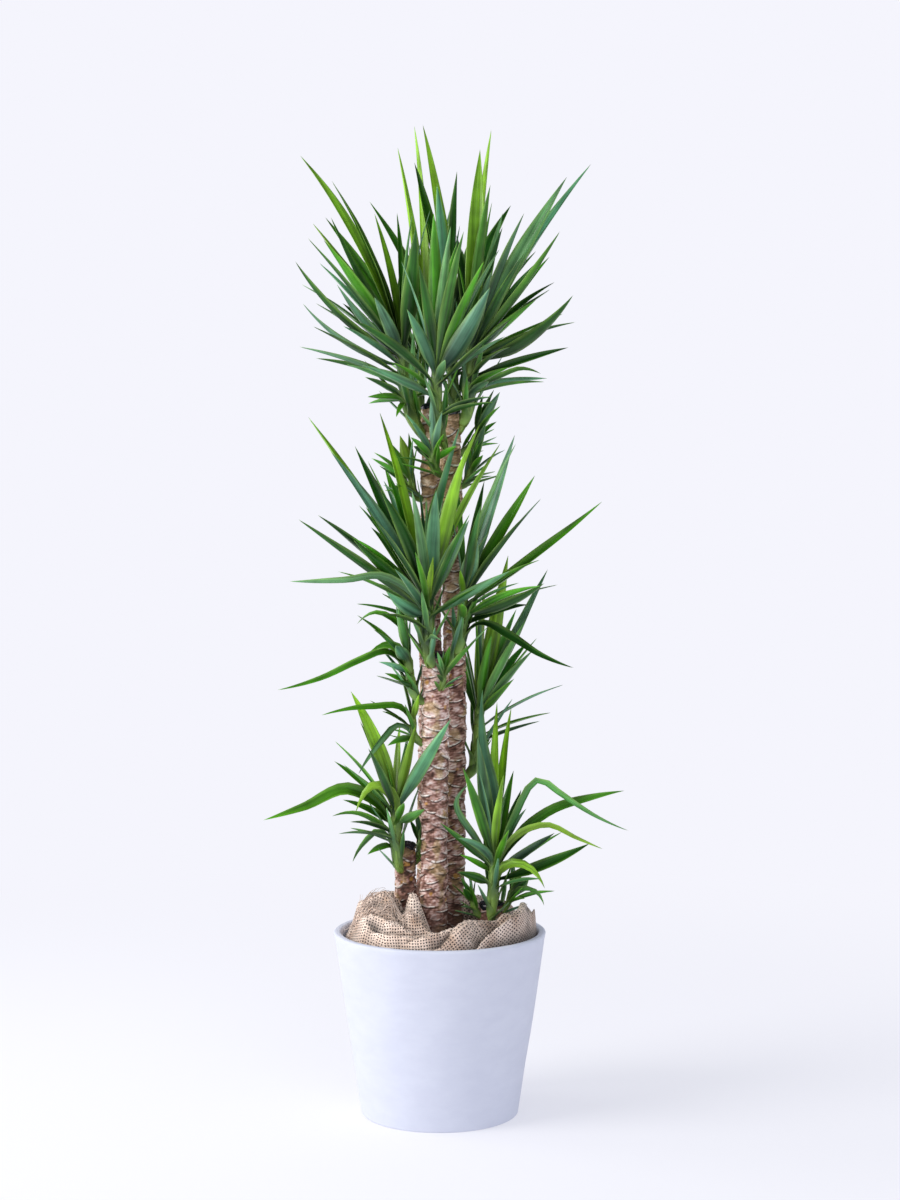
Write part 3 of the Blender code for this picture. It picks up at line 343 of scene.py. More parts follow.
def makePot():
    height, rim, foot = pot["height"], pot["rimRounding"], pot["footRounding"]
    floor, corner = pot["floor"], pot["floorRounding"]
    inner, outer = potInside(height), potOutside(height)
    outerTop = quarterTurn(outer - rim, height - rim, rim, 0)[::-1]
    innerTop = quarterTurn(inner + rim, height - rim, rim, math.pi / 2)[::-1]
    side = np.linspace(height - rim, foot, 40)[1:-1]
    innerSide = np.linspace(floor + corner, height - rim, 24)[:-1]
    profile = np.concatenate(
        [
            np.stack([np.linspace(0.004, potInside(floor) - corner, 8), np.full(8, floor)], -1),
            quarterTurn(potInside(floor) - corner, floor + corner, corner, -math.pi / 2)[1:-1],
            np.stack([potInside(innerSide), innerSide], -1),
            innerTop,
            outerTop,
            np.stack([potOutside(side), side], -1),
            quarterTurn(potOutside(foot) - foot, foot, foot, -math.pi / 2)[::-1],
            np.stack([np.linspace(potOutside(0) - corner, 0.004, 8), np.zeros(8)], -1),
        ]
    )
    points = turned(profile, pot["around"])
    stray, length = pot["wander"]
    wander = stray * ripple(points, length, 3)[..., None] * [1, 1, 0]
    points = points + wander * unit(points * [1, 1, 0] + 1e-9) * (points[..., 2:] > 0.002)
    points, faces = closedTube(points, (0, 0, floor), (0, 0, 0), False)
    newPiece("planter", points, faces, potMaterial(), ["pot"])


# Soil: coarse potting soil, level, with crumbs; the burlap leaves little of it in view.
soil = {
    "top": 0.285,
    "clearance": 0.00075,
    "crumb": 0.009,  # size of a crumb
    "relief": 0.0022,  # and how far they stand out
    "colours": ("#1d140e", "#5a4433"),  # of the hollows, partly painted shade, and of the crumbs
}


def makeSoil():
    # Potting soil of peat and bark chips: dark, dull and crumbly.
    material = newMaterial("potting soil")
    place = addNode(material, "TexCoord")
    crumbs = addNode(material, "TexVoronoi", {"Scale": 1 / soil["crumb"]}, {"Vector": (place, "Object")})
    dark, light = soil["colours"]
    # Painted shade: the hollows between crumbs are darker, over the soil's own dark tone.
    colour = addNode(material, "ValToRGB", {"stops": [(0.1, light), (0.6, dark)]}, {"Fac": (crumbs, 0)})
    bump = addNode(
        material, "Bump", {"invert": True, "Strength": 0.8, "Distance": 0.003}, {"Height": (crumbs, 0)}
    )
    shader = addNode(
        material, "BsdfPrincipled", {"Roughness": 0.95}, {"Base Color": (colour, 0), "Normal": (bump, 0)}
    )
    addNode(material, "OutputMaterial", links={"Surface": (shader, 0)})
    top, bottom, gap = soil["top"], pot["floor"] + 0.0003, soil["clearance"]
    radii = np.linspace(0.003, potInside(top) - gap, 60)
    lower = np.array([[potInside(bottom) - gap, bottom], [0.003, bottom]])
    profile = np.concatenate([np.stack([radii, np.full(len(radii), top)], -1), lower])
    points = turned(profile, 160)
    crumbly = soil["relief"] * (ripple(points, 0.012, 5) + 0.6 * ripple(points, 0.03, 6) - 1)
    points[: len(radii), :, 2] += np.clip(crumbly[: len(radii)], -0.006, 0.0)
    points, faces = closedTube(points, (0, 0, points[0, :, 2].mean()), (0, 0, bottom), False)
    newPiece("potting_soil", points, faces, material, ["soil"])


# Canes: bare trunk pieces, in cm: where each stands at the soil and ends, how far it bows sideways and its
# radii at the soil and at the top. Leaf scars wind up them by the golden angle, each with a cream lower
# lip, and "dark" is how much darker than the middle cane's skin its own is: partly a browner skin and
# partly painted shade from the other canes and the leaves.
canes = {
    "tall_right": {
        "foot": (1.9, 3.0), "top": (1.5, 3.0, 122.5), "bow": 0.9, "radii": (2.1, 1.85), "dark": 0.1,
    },
    "tall_left": {
        "foot": (-2.4, 6.8), "top": (-1.5, 6.8, 123.5), "bow": 0.2, "radii": (2.0, 1.8), "dark": 0.05,
    },
    "middle": {
        "foot": (-1.1, -3.0), "top": (-0.6, -3.0, 80.5), "bow": 0.0, "radii": (2.25, 2.4), "dark": 0.0,
    },
    "short": {
        "foot": (-6.0, 0.0), "top": (-6.0, 0.0, 47.0), "bow": 0.0, "radii": (1.9, 1.85), "dark": 0.12,
    },
    "stub": {
        "foot": (9.0, -2.0), "top": (9.0, -2.0, 37.0), "bow": 0.0, "radii": (2.3, 2.2), "dark": 0.12,
    },
}
bark = {
    "depth": 0.11,  # of the cane's foot in the soil
    "step": (0.00105, 0.0022),  # between rows, and about between columns
    "scarRise": 0.0049,  # from one leaf scar to the next on the spiral
    "scarHalf": 0.92,  # half a scar's width round the cane, in radians
    "scarDrop": 0.0064,  # how far its middle may hang below its ends
    "scarTilt": 0.017,
    "lip": (0.0011, 0.0015),  # how far it stands out, and half its height in the middle
    "groove": (0.0015, 0.0013),  # under the lip
    "overlap": 0.0009,  # each scar's face leans out towards its lip
    "skin": ((0, "#432a20"), (0.3, "#7a5446"), (0.52, "#b58d80"), (0.75, "#e0c6bd"), (1, "#f6eae5")),
    "lipColour": "#fbf4ea",
    # painted shade in the groove under each lip
    "grooveColour": "#2b1a13",
    "rust": "#c4913f",
    "nearSoil": "#5d3e30",
    "tan": "#a8905c",
}


def caneRise(cane, z):
    top = cane["top"][2] * cm
    return np.clip((z - soil["top"]) / (top - soil["top"]), 0, 1)


def caneAxis(cane, z):
    # Straight up out of the soil, then bowed sideways by a parabola: 4 b s (1 - s) at the part s.
    rise, foot, top = caneRise(cane, z), cane["foot"], cane["top"]
    x = foot[0] + (top[0] - foot[0]) * rise + 4 * cane["bow"] * rise * (1 - rise)
    return np.stack([x * cm, (foot[1] + (top[1] - foot[1]) * rise) * cm, z + 0 * x], -1)


def caneRadius(cane, z):
    low, high = cane["radii"]
    return (low + (high - low) * caneRise(cane, z)) * cm


def scarField(angle, z, seed):
    # Scar n stands at n golden angles and n rises, each moved, tilted and sized by a draw. Its lip is
    # z = z0 + drop (a / half)^p + tilt a, thickest in the middle, with p from 1, a V, to 2, a smile.
    # Returns the lip's and the groove's strength, the height over the nearest lip, and which scar that is.
    draws = np.random.default_rng(seed).uniform(size=(512, 5))
    lip, groove = np.zeros_like(z), np.zeros_like(z)
    over, owner = np.full_like(z, 0.03), np.zeros(z.shape, int)
    low = np.floor(z / bark["scarRise"]).astype(int)
    for step in range(-9, 4):
        number = low + step
        a, b, c, d, e = np.moveaxis(draws[number % 512], -1, 0)
        away = (angle - number * goldenAngle - 0.5 * a + math.pi) % (2 * math.pi) - math.pi
        part = np.abs(away) / (bark["scarHalf"] * (0.5 + 0.65 * b))
        bend = bark["scarDrop"] * (0.15 + d) * part ** (1 + e) + bark["scarTilt"] * (c - 0.5) * away
        height = z - (number + 1.6 * c) * bark["scarRise"] - bend
        shown = np.clip(1.15 - part**3, 0, 1) * (part < 1)
        half = bark["lip"][1] * np.sqrt(np.clip(1.08 - part**2, 0.05, 1)) * (0.7 + 0.6 * d)
        lip = np.maximum(lip, shown * np.clip(0.25 + 1.2 * e, 0, 1) * np.exp(-((height / half) ** 2)))
        below = (height + 0.0022) / bark["groove"][1]
        groove = np.maximum(groove, shown * np.exp(-(below**2)))
        nearer = (part < 1) & (height > -0.0008) & (height < over)
        over, owner = np.where(nearer, height, over), np.where(nearer, number, owner)
    return lip, groove, over, owner


def barkMaterial():
    # Yucca bark: dull, fibrous and corky, with leaf scars; its fibres run round the cane.
    material = newMaterial("yucca bark")
    tint = addNode(material, "Attribute", {"attribute_name": "tint"})
    place = addNode(material, "TexCoord")
    flat = addNode(material, "Mapping", {"Scale": (1, 1, 3.2)}, {"Vector": (place, "Object")})
    # Cracks about 4 mm long and 1 mm high.
    fibre = addNode(
        material, "TexNoise", {"Scale": 240, "Detail": 6, "Roughness": 0.65}, {"Vector": (flat, 0)},
    )
    patch = addNode(material, "TexNoise", {"Scale": 75, "Detail": 4}, {"Vector": (flat, 0)})
    strength = {"From Min": 0.3, "From Max": 0.7, "To Min": 0.62, "To Max": 1.38}
    fine = addNode(material, "MapRange", strength, {"Value": (fibre, 0)})
    wide = addNode(material, "MapRange", {**strength, "To Min": 0.76, "To Max": 1.2}, {"Value": (patch, 0)})
    shade = addNode(material, "Math", {"operation": "MULTIPLY"}, {0: (fine, 0), 1: (wide, 0)})
    colour = addNode(
        material, "VectorMath", {"operation": "SCALE"}, {0: (tint, "Color"), "Scale": (shade, 0)}
    )
    bump = addNode(material, "Bump", {"Strength": 0.55, "Distance": 0.0012}, {"Height": (fibre, 0)})
    shader = addNode(
        material, "BsdfPrincipled", {"Roughness": 0.82}, {"Base Color": (colour, 0), "Normal": (bump, 0)}
    )
    addNode(material, "OutputMaterial", links={"Surface": (shader, 0)})
    return material


def makeCane(name, number, material):
    cane, foot = canes[name], soil["top"] - bark["depth"]
    top = cane["top"][2] * cm
    coarse = 1.5 if name == "tall_left" else 1.0  # mostly out of sight
    rows = round((top - soil["top"]) / (bark["step"][0] * coarse))
    z = np.concatenate([np.linspace(foot, soil["top"] - 0.004, 6), np.linspace(soil["top"], top, rows)])
    around = round(2 * math.pi * max(cane["radii"]) * cm / (bark["step"][1] * coarse))
    angle = circle(around)[None] + 0 * z[:, None]
    z = z[:, None] + 0 * angle
    lip, groove, over, owner = scarField(angle, z, 40 + number)
    out = outwards(angle)
    smooth = caneAxis(cane, z) + caneRadius(cane, z)[..., None] * out
    lip *= np.clip(1.0 + 0.6 * ripple(smooth, 0.007, 20 + number), 0.1, 1)
    relief = bark["lip"][0] * lip - bark["groove"][0] * groove
    relief += bark["overlap"] * (0.55 - np.clip(over / 0.016, 0, 1)) + 0.0004 * ripple(smooth, 0.006, number)
    relief += 0.0007 * ripple(smooth, 0.05, 60 + number)
    relief = (relief - 0.0003) * between(z, soil["top"] - 0.002, soil["top"] + 0.01)
    points = smooth + relief[..., None] * out
    # Colours: mottled skin from dark brown to pinkish white, with painted shade high on each scar's face,
    # where it tucks under the next lip, and in the dark grooves; cream lips, rust here and there, darker low
    # down by the soil and a tan top on the tall canes.
    draws = np.random.default_rng(70 + number).uniform(size=512)
    mottle = 0.52 + 0.1 * between(z, 0.45, 0.7) + 0.12 * ripple(points * [1, 1, 1.7], 0.019, 90 + number)
    mottle += 0.1 * ripple(points * [1, 1, 1.6], 0.007, 80 + number) + 0.22 * (draws[owner % 512] - 0.5)
    # painted shade where each scar's face tucks under the next lip; the cane's dark is partly painted shade
    # too
    mottle -= 0.2 * between(over, 0.008, 0.02) + cane["dark"]
    places, skin = zip(*bark["skin"])
    colour = np.stack([np.interp(mottle, places, c) for c in np.array([linear(c) for c in skin]).T], -1)
    tan = between(caneRise(cane, z), 0.5, 0.85) * (0.75 if cane["top"][2] > 100 else 0)
    tan = np.maximum(tan, 0.8 * between(ripple(points, 0.035, 50 + number), 0.5, 1.5))
    colour = towards(colour, linear(bark["tan"]) * (0.55 + mottle)[..., None], (tan * 0.7)[..., None])
    rust = np.clip(ripple(points, 0.02, 30 + number) - 1.9, 0, 1)
    colour = towards(colour, linear(bark["rust"]), np.clip(1.6 * rust, 0, 0.7)[..., None])
    # painted shade in the groove under each lip
    colour = towards(colour, linear(bark["grooveColour"]), (0.88 * groove)[..., None])
    colour = towards(colour, linear(bark["lipColour"]), np.clip(2.2 * lip - 0.4, 0, 1)[..., None])
    # darker low down, near the soil
    lowDarkening = 0.75 * (1 - between(z, soil["top"] + 0.045, soil["top"] + 0.10))
    colour = towards(colour, linear(bark["nearSoil"]), (lowDarkening * (1 - 0.5 * lip))[..., None])
    colour *= (1 - 0.55 * between(z, top - 0.006, top - 0.001))[..., None]
    tint = np.concatenate([colour.reshape(-1, 3), [colour[0, 0], linear(bark["nearSoil"])]])
    points, faces = closedTube(points, points[0].mean(0), points[-1].mean(0))
    newPiece("bark_" + name, points, faces, material, ["cane_" + name], tint=tint)


# Wax: dark sealing wax brushed over each cut end, thick in the middle, run a little over the edge.
wax = {
    "height": 0.007,
    "run": 0.009,  # how far the longest drips come down the bark
    "thickness": 0.0011,
    "colour": "#10121f",
    "around": 96,
    "rows": (16, 10),  # on the dome and down the skirt
}


def waxMaterial():
    # Sealing wax: blue-black, poured and set glossy with a slightly dimpled skin.
    material = newMaterial("sealing wax")
    place = addNode(material, "TexCoord")
    dimples = addNode(material, "TexNoise", {"Scale": 150, "Detail": 2}, {"Vector": (place, "Object")})
    bump = addNode(material, "Bump", {"Strength": 0.3, "Distance": 0.001}, {"Height": (dimples, 0)})
    gloss = addNode(material, "MapRange", {"To Min": 0.14, "To Max": 0.34}, {"Value": (dimples, 0)})
    shader = addNode(
        material, "BsdfPrincipled",
        {"Base Color": rgba(wax["colour"]), "IOR": 1.45, "Coat Weight": 0.3, "Coat Roughness": 0.1},
        {"Roughness": (gloss, 0), "Normal": (bump, 0)},
    )
    addNode(material, "OutputMaterial", links={"Surface": (shader, 0)})
    return material


def makeWax(name, number, material):
    # A dome h sqrt(1 - r^2) over the cut end, then a skirt down the bark, longer where a drip has run.
    cane, (domeRows, skirtRows) = canes[name], wax["rows"]
    x, y, top = (v * cm for v in cane["top"])
    radius, turn = cane["radii"][1] * cm, outwards(circle(wax["around"]))
    drip = 0.35 + 0.3 * np.clip(ripple(turn, 1.1, 20 + number), -1, 2)
    part = np.linspace(0.05, 1, domeRows)
    dome = wax["height"] * np.sqrt(1 - 0.93 * part**3)
    skirt = np.linspace(0, 1, skirtRows)[1:]
    r = np.concatenate([radius * part, radius + wax["thickness"] * np.sin(math.pi * skirt**0.7)])
    skirt = skirt[:, None]
    z = np.concatenate([dome[:, None] + 0 * drip, dome[-1] * (1 - skirt) - wax["run"] * skirt * drip])
    points = np.stack([x + r[:, None] * turn[:, 0], y + r[:, None] * turn[:, 1], top + z], -1)
    uneven = ripple(points[:domeRows], 0.012, number) * (1 - part[:, None] ** 4)
    points[:domeRows, :, 2] += 0.0005 * uneven
    points, faces = closedTube(points, (x, y, points[0, :, 2].mean()), (x, y, top - 0.004), False)
    newPiece("wax_" + name, points, faces, material, ["wax_cap_" + name])


# Burlap: one length of loose jute cloth, gathered in rounded folds on the soil between canes and planter.
burlap = {
    "crest": (7.0, 8.2, 8.8, 9.4, 9.2, 7.4, 5.2, 7.0),  # over the soil in cm, at each 45 degrees from +X
    "crestAt": 0.38,  # from 0 at the canes to 1 at the planter's wall
    "caneGap": 0.0015,
    "wallGap": 0.002,
    "foldsOver": 0.034,  # how far the ground of the cloth lies under that crest
    "innerDrop": 0.045,  # from that ground down to the canes
    "outerHeight": 0.028,  # of the ground over the soil, at the wall
    "around": 440,  # points round it, and rows from the canes to the wall
    "across": 92,
    "creases": (0.0012, 0.026),  # their depth and spacing
    "edgeHeight": 0.026,  # over the soil, where the cloth meets the wall
    "edgeSlope": (20, 4, 3, 2.2, 1.8, 2.2, 4, 9),  # how steeply it rises from there, at each 45 degrees
    "edgeUneven": (0.25, 0.05),  # how much that slope varies, and over what length
    "tuck": 0.016,  # how far the outer edge goes down along the wall
    "foldShade": (90, 0.4, 1.25),  # painted shade in folds, light on ridges: per metre of depth; its limits
    "paleAndLitLeft": 0.17,  # lighter to the left, where its edge is frayed: partly its own paler tone, partly painted light
    "flat": (0.35, 0.50),  # its size when spread out
    "thickness": 0.0013,
    # Where its cut edge has frayed, in cm: how many loose threads, how far each strays from the line's own
    # way and how high their ends stand off, then the line.
    "frayed": (
        (50, 1.3, 1.4, (-15.0, -2.6), (-13.9, -2.9), (-12.4, -3.0), (-10.9, -3.0)),
        (56, 0.16, 0.1, (-9.4, -3.6), (-8.2, -5.0), (-6.9, -6.4), (-5.2, -8.0)),
        (50, 0.25, 0.2, (-13.6, -4.2), (-12.2, -4.6), (-10.6, -5.2), (-9.0, -6.0)),
        (24, 0.5, 0.3, (-12.8, -6.2), (-11.0, -6.8), (-9.2, -7.6), (-7.0, -8.8)),
    ),
    # Creases between its folds: depth and half width in cm, how dark their painted shade is, then the line.
    "slits": (
        (1.3, 0.4, 0.85, (-12.5, -7.3), (-11.7, -8.7), (-11.0, -9.5), (-10.4, -10.1), (-9.6, -10.8)),
        (0.5, 0.3, 0.4, (-12.5, -4.9), (-10.9, -5.5), (-9.2, -6.6), (-7.2, -7.7), (-5.9, -8.7)),
        (1.0, 0.45, 0.6, (-13.2, -3.5), (-11.8, -3.8), (-10.3, -4.6), (-9.2, -5.6)),
        (0.9, 0.4, 0.6, (-8.9, -5.3), (-7.6, -6.5), (-6.5, -7.6), (-5.4, -8.8)),
        (0.7, 0.35, 0.6, (15.4, -3.2), (15.2, -4.8), (15.0, -6.4)),
        (0.5, 0.4, 0.45, (8.4, -13.4), (10.4, -11.4), (12.4, -9.4), (13.9, -7.6)),
        (2.2, 0.9, 0.6, (-7.6, -2.9), (-6.9, -4.6), (-6.2, -6.2), (-5.3, -7.4)),
    ),
    "strand": "#ecd6c6",  # of the loose threads
    "strandLength": (0.012, 0.032),
    "strandRadius": (0.0004, 0.0008),
    # Rolls of cloth: a radius, then points of its crest in cm. These are the ones that the front shows.
    "rolls": (
        (1.0, (-15.2, -1.5, 34.5), (-13.7, -2.3, 36.4), (-12.2, -2.8, 38.5), (-10.7, -3.0, 39.7),
         (-8.9, -3.0, 39.5), (-6.7, -2.8, 38.9)),
        (0.8, (-9.9, -4.0, 39.6), (-8.3, -5.0, 38.5), (-6.4, -6.6, 37.1), (-5.0, -8.2, 35.4),
         (-4.5, -9.2, 34.3)),
        (1.6, (-4.5, -4.4, 40.3), (-4.7, -6.1, 39.1), (-4.2, -7.4, 37.2), (-3.0, -8.6, 35.4),
         (-1.7, -9.6, 34.5)),
        (1.1, (-14.7, -5.5, 35.8), (-13.4, -6.5, 36.3), (-11.4, -8.0, 36.2), (-8.9, -9.6, 35.8),
         (-6.7, -10.8, 35.3), (-4.9, -11.6, 34.6)),
        (1.4, (-14.9, -8.0, 34.0), (-12.6, -10.5, 34.3), (-9.9, -12.2, 33.8), (-6.6, -13.2, 33.8),
         (-4.0, -13.2, 34.0), (-1.5, -12.2, 34.6)),
        (1.1, (-13.8, -12.0, 33.0), (-10.9, -14.2, 32.7), (-7.2, -15.4, 32.7), (-4.7, -15.4, 33.3),
         (-2.1, -14.6, 34.2), (1.0, -13.0, 35.0)),
        (1.1, (-2.5, -16.2, 32.2), (0.1, -16.2, 32.6), (1.9, -15.0, 33.9), (3.7, -12.8, 35.8),
         (5.3, -10.6, 35.9), (7.4, -8.8, 35.7), (9.5, -7.4, 35.7)),
        (1.4, (5.8, -16.0, 32.0), (8.0, -14.6, 34.1), (10.6, -12.2, 35.5), (12.5, -9.2, 36.6),
         (13.8, -6.4, 37.6), (14.3, -4.0, 38.3)),
        (0.9, (-0.6, -11.5, 33.4), (1.4, -10.4, 34.2), (3.5, -9.2, 34.8)),
        (1.1, (9.0, -15.6, 32.1), (11.2, -14.2, 33.6), (13.1, -12.2, 34.5), (14.5, -10.0, 34.8)),
        (0.8, (15.0, -7.0, 33.6), (15.6, -5.4, 34.8), (16.1, -4.0, 36.4), (16.2, -2.8, 36.8)),
        (0.7, (4.0, -12.0, 33.9), (5.6, -10.2, 34.6), (7.4, -8.6, 34.8)),
        (0.7, (10.3, -7.4, 36.2), (11.4, -6.6, 36.4), (12.7, -6.0, 36.4)),
    ),
    # Those behind follow a rule: how many, the first angle and over how many degrees, how far out each one's
    # start, middle and end lie and how far under the crest, and its radius.
    "backRolls": {
        "count": 26, "angles": (-12, 205), "reach": (0.160, 0.128, 0.090), "under": (0.040, 0.008, 0.004),
        "radius": (0.009, 0.015),
    },
    "weaveAt": (-0.095, 0.005, 0.085),  # where one fold's weave gives way to the next one's
    "weaveTurn": (14, -4, -36, -46),  # degrees, for each of those folds from the left
    "pitch": 0.0047,  # real threads lie 3.4 mm apart, drawn coarser so that they show
    "jute": ("#ab8d76", "#f4dfcf"),
    # Seen through the holes: partly the dark soil, partly painted shade under the cloth.
    "hole": "#2c1c12",
}


def around(values, angle):
    # Smooth closed curve through values spaced evenly round the circle.
    values = np.asarray(values, float)
    place = angle / (2 * math.pi) * len(values) % len(values)
    i = place.astype(int)
    u = (1 - np.cos(math.pi * (place - i))) / 2
    return values[i % len(values)] * (1 - u) + values[(i + 1) % len(values)] * u


def burlapInner(angle):
    # Outside every cane: the smooth maximum ln(sum of e^(120 r)) / 120 of their reaches.
    total, sharp = 0, 120
    for cane in canes.values():
        x, y = cane["foot"]
        reach = (x * np.cos(angle) + y * np.sin(angle) + cane["radii"][0]) * cm + burlap["caneGap"]
        total = total + np.exp(sharp * reach)
    return np.log(total) / sharp


def rollsOver(points, ground):
    # Rolls as round ridges: height z - r (1 - sqrt(1 - (d / r)^2)) at the distance d from a crest's line,
    # all joined to the ground by the smooth maximum ln(sum of e^(k h)) / k.
    sharp, random, back = 600, np.random.default_rng(12), burlap["backRolls"]
    rolls = [(radius * cm, np.array(line) * cm) for radius, *line in burlap["rolls"]]
    first, span = back["angles"]
    for i in range(back["count"]):
        angle = math.radians(first + span * (i + 0.5) / back["count"])
        angle = angle + random.uniform(-1, 1) * np.array([-0.6, 0, 0.6])
        reach = np.array(back["reach"]) + random.normal(0, 0.005, 3)
        z = soil["top"] + around(burlap["crest"], angle) * cm - np.array(back["under"])
        line = np.stack([reach * np.cos(angle), reach * np.sin(angle), z + random.normal(0, 0.003, 3)], -1)
        rolls.append((random.uniform(*back["radius"]), line))
    total = np.exp(sharp * (ground - soil["top"]))
    for radius, line in rolls:
        crest = course(line, np.linspace(0, 1, 25))
        start, step = crest[:-1, :2], np.diff(crest[:, :2], axis=0)
        away = points[..., None, :2] - start
        along = np.clip((away * step).sum(-1) / (step * step).sum(-1), 0, 1)
        apart = np.linalg.norm(away - along[..., None] * step, axis=-1)
        best = apart.argmin(-1)[..., None]
        apart = np.take_along_axis(apart, best, -1)[..., 0]
        along = (np.take_along_axis(along, best, -1) + best)[..., 0] / 24
        size = radius * np.sin(math.pi * np.clip(along, 0.07, 0.93)) ** 0.35
        top = np.interp(along, np.linspace(0, 1, 25), crest[:, 2]) - (radius - size)
        fall = 1 - np.sqrt(np.clip(1 - (apart / size) ** 2, 0, 1)) + 2.5 * np.clip(apart / size - 1, 0, None)
        total += np.exp(sharp * (top - size * fall - soil["top"]))
    return soil["top"] + np.log(total) / sharp


def evened(values, half, axis):
    # Mean over the neighbours up to half away: along the rows they close up, across them the edges repeat.
    width = 2 * half + 1
    if axis:
        return sum(np.roll(values, s, 1) for s in range(-half, half + 1)) / width
    padded = np.pad(values, ((half, half), (0, 0)), "edge")
    return sum(padded[s : s + len(values)] for s in range(width)) / width


def nearness(points, line, half):
    # e^-(d / half)^2 at the distance d from a smooth line, seen from above, fading in over its ends.
    flat = np.array(line) * cm
    dots = course(flat, np.linspace(0, 1, 40))
    apart = np.linalg.norm(points[..., None, :2] - dots, axis=-1)
    ends = np.sin(math.pi * (apart.argmin(-1) + 1) / 41) ** 0.5
    return np.exp(-((apart.min(-1) / (half * cm)) ** 2)) * ends


def burlapMaterial():
    # Jute sacking: coarse dull fibres, plain-woven loosely enough to show dark holes between threads.
    material = newMaterial("plain-woven jute")
    place = addNode(material, "TexCoord")
    sway = addNode(material, "TexNoise", {"Scale": 45, "Detail": 2}, {"Vector": (place, "UV")})
    push = addNode(material, "VectorMath", {"operation": "SCALE", "Scale": 0.0065}, {0: (sway, "Color")})
    moved = addNode(material, "VectorMath", {"operation": "ADD"}, {0: (place, "UV"), 1: (push, 0)})
    parts = addNode(material, "SeparateXYZ", links={0: (moved, 0)})
    waves, rate = [], math.pi / burlap["pitch"]
    for side in (0, 1):
        turns = addNode(material, "Math", {"operation": "MULTIPLY", 1: rate}, {0: (parts, side)})
        waves.append(addNode(material, "Math", {"operation": "SINE"}, {0: (turns, 0)}))
    over = addNode(material, "Math", {"operation": "MULTIPLY"}, {0: (waves[0], 0), 1: (waves[1], 0)})
    threads = []
    for side, sign in ((0, 0.22), (1, -0.22)):
        size = addNode(material, "Math", {"operation": "ABSOLUTE"}, {0: (waves[side], 0)})
        lift = addNode(material, "Math", {"operation": "MULTIPLY_ADD", 1: sign, 2: 0.78}, {0: (over, 0)})
        threads.append(addNode(material, "Math", {"operation": "MULTIPLY"}, {0: (size, 0), 1: (lift, 0)}))
    height = addNode(material, "Math", {"operation": "MAXIMUM"}, {0: (threads[0], 0), 1: (threads[1], 0)})
    # Fibres of about 1 mm.
    yarn = addNode(
        material, "TexNoise", {"Scale": 520, "Detail": 4, "Roughness": 0.7}, {"Vector": (place, "Object")},
    )
    band = addNode(material, "TexNoise", {"Scale": 28, "Detail": 3}, {"Vector": (place, "Object")})
    mixed = addNode(material, "Math", {"operation": "MULTIPLY_ADD", 1: 0.35}, {0: (yarn, 0), 2: (band, 0)})
    dark, light = burlap["jute"]
    colour = addNode(material, "ValToRGB", {"stops": [(0.45, dark), (0.85, light)]}, {"Fac": (mixed, 0)})
    solid = addNode(
        material, "MapRange", {"interpolation_type": "SMOOTHSTEP", "From Min": 0.4, "From Max": 0.7},
        {"Value": (height, 0)},
    )
    woven = addNode(
        material, "Mix", {"data_type": "RGBA", 6: rgba(burlap["hole"])}, {0: (solid, 0), 7: (colour, 0)}
    )
    # The tint holds painted shade and light: darker in folds and creases, lighter on ridges and to the left.
    paintedShading = addNode(material, "Attribute", {"attribute_name": "tint"})
    shaded = addNode(material, "VectorMath", {"operation": "MULTIPLY"}, {0: (woven, 2), 1: (paintedShading, "Color")})
    relief = addNode(material, "Math", {"operation": "MULTIPLY_ADD", 1: 0.35}, {0: (yarn, 0), 2: (height, 0)})
    bump = addNode(material, "Bump", {"Strength": 1.0, "Distance": 0.002}, {"Height": (relief, 0)})
    shader = addNode(
        material, "BsdfPrincipled", {"Roughness": 0.93, "Sheen Weight": 0.25, "Sheen Roughness": 0.6},
        {"Base Color": (shaded, 0), "Normal": (bump, 0)},
    )
    addNode(material, "OutputMaterial", links={"Surface": (shader, 0)})
    return material


def weavePlace(points, faces):
    # Each face takes its weave from the plane that it lies nearest to, level, front or side, and by its
    # fold's own turn t: (a cos t - b sin t, a sin t + b cos t).
    soft = np.stack([evened(evened(points[..., k], 3, 1), 2, 0) for k in range(3)], -1).reshape(-1, 3)[faces]
    normal = np.abs(unit(np.cross(soft[:, 2] - soft[:, 0], soft[:, 3] - soft[:, 1])))
    level, side = normal[:, 2] > 0.75, normal[:, 0] > 1.2 * normal[:, 1]
    x, y, z = np.moveaxis(points.reshape(-1, 3)[faces], -1, 0)
    a = np.where((side & ~level)[:, None], y, x)
    b = np.where(level[:, None], y, z)
    t = np.radians(burlap["weaveTurn"])[np.searchsorted(burlap["weaveAt"], x.mean(1))][:, None]
    return np.stack([a * np.cos(t) - b * np.sin(t), a * np.sin(t) + b * np.cos(t)], -1)


def wallLean(z):
    # How much further out the planter's wall stands at z, up to just under its rim, than at the soil.
    return potInside(np.clip(z, soil["top"], soil["top"] + 0.034)) - potInside(soil["top"])


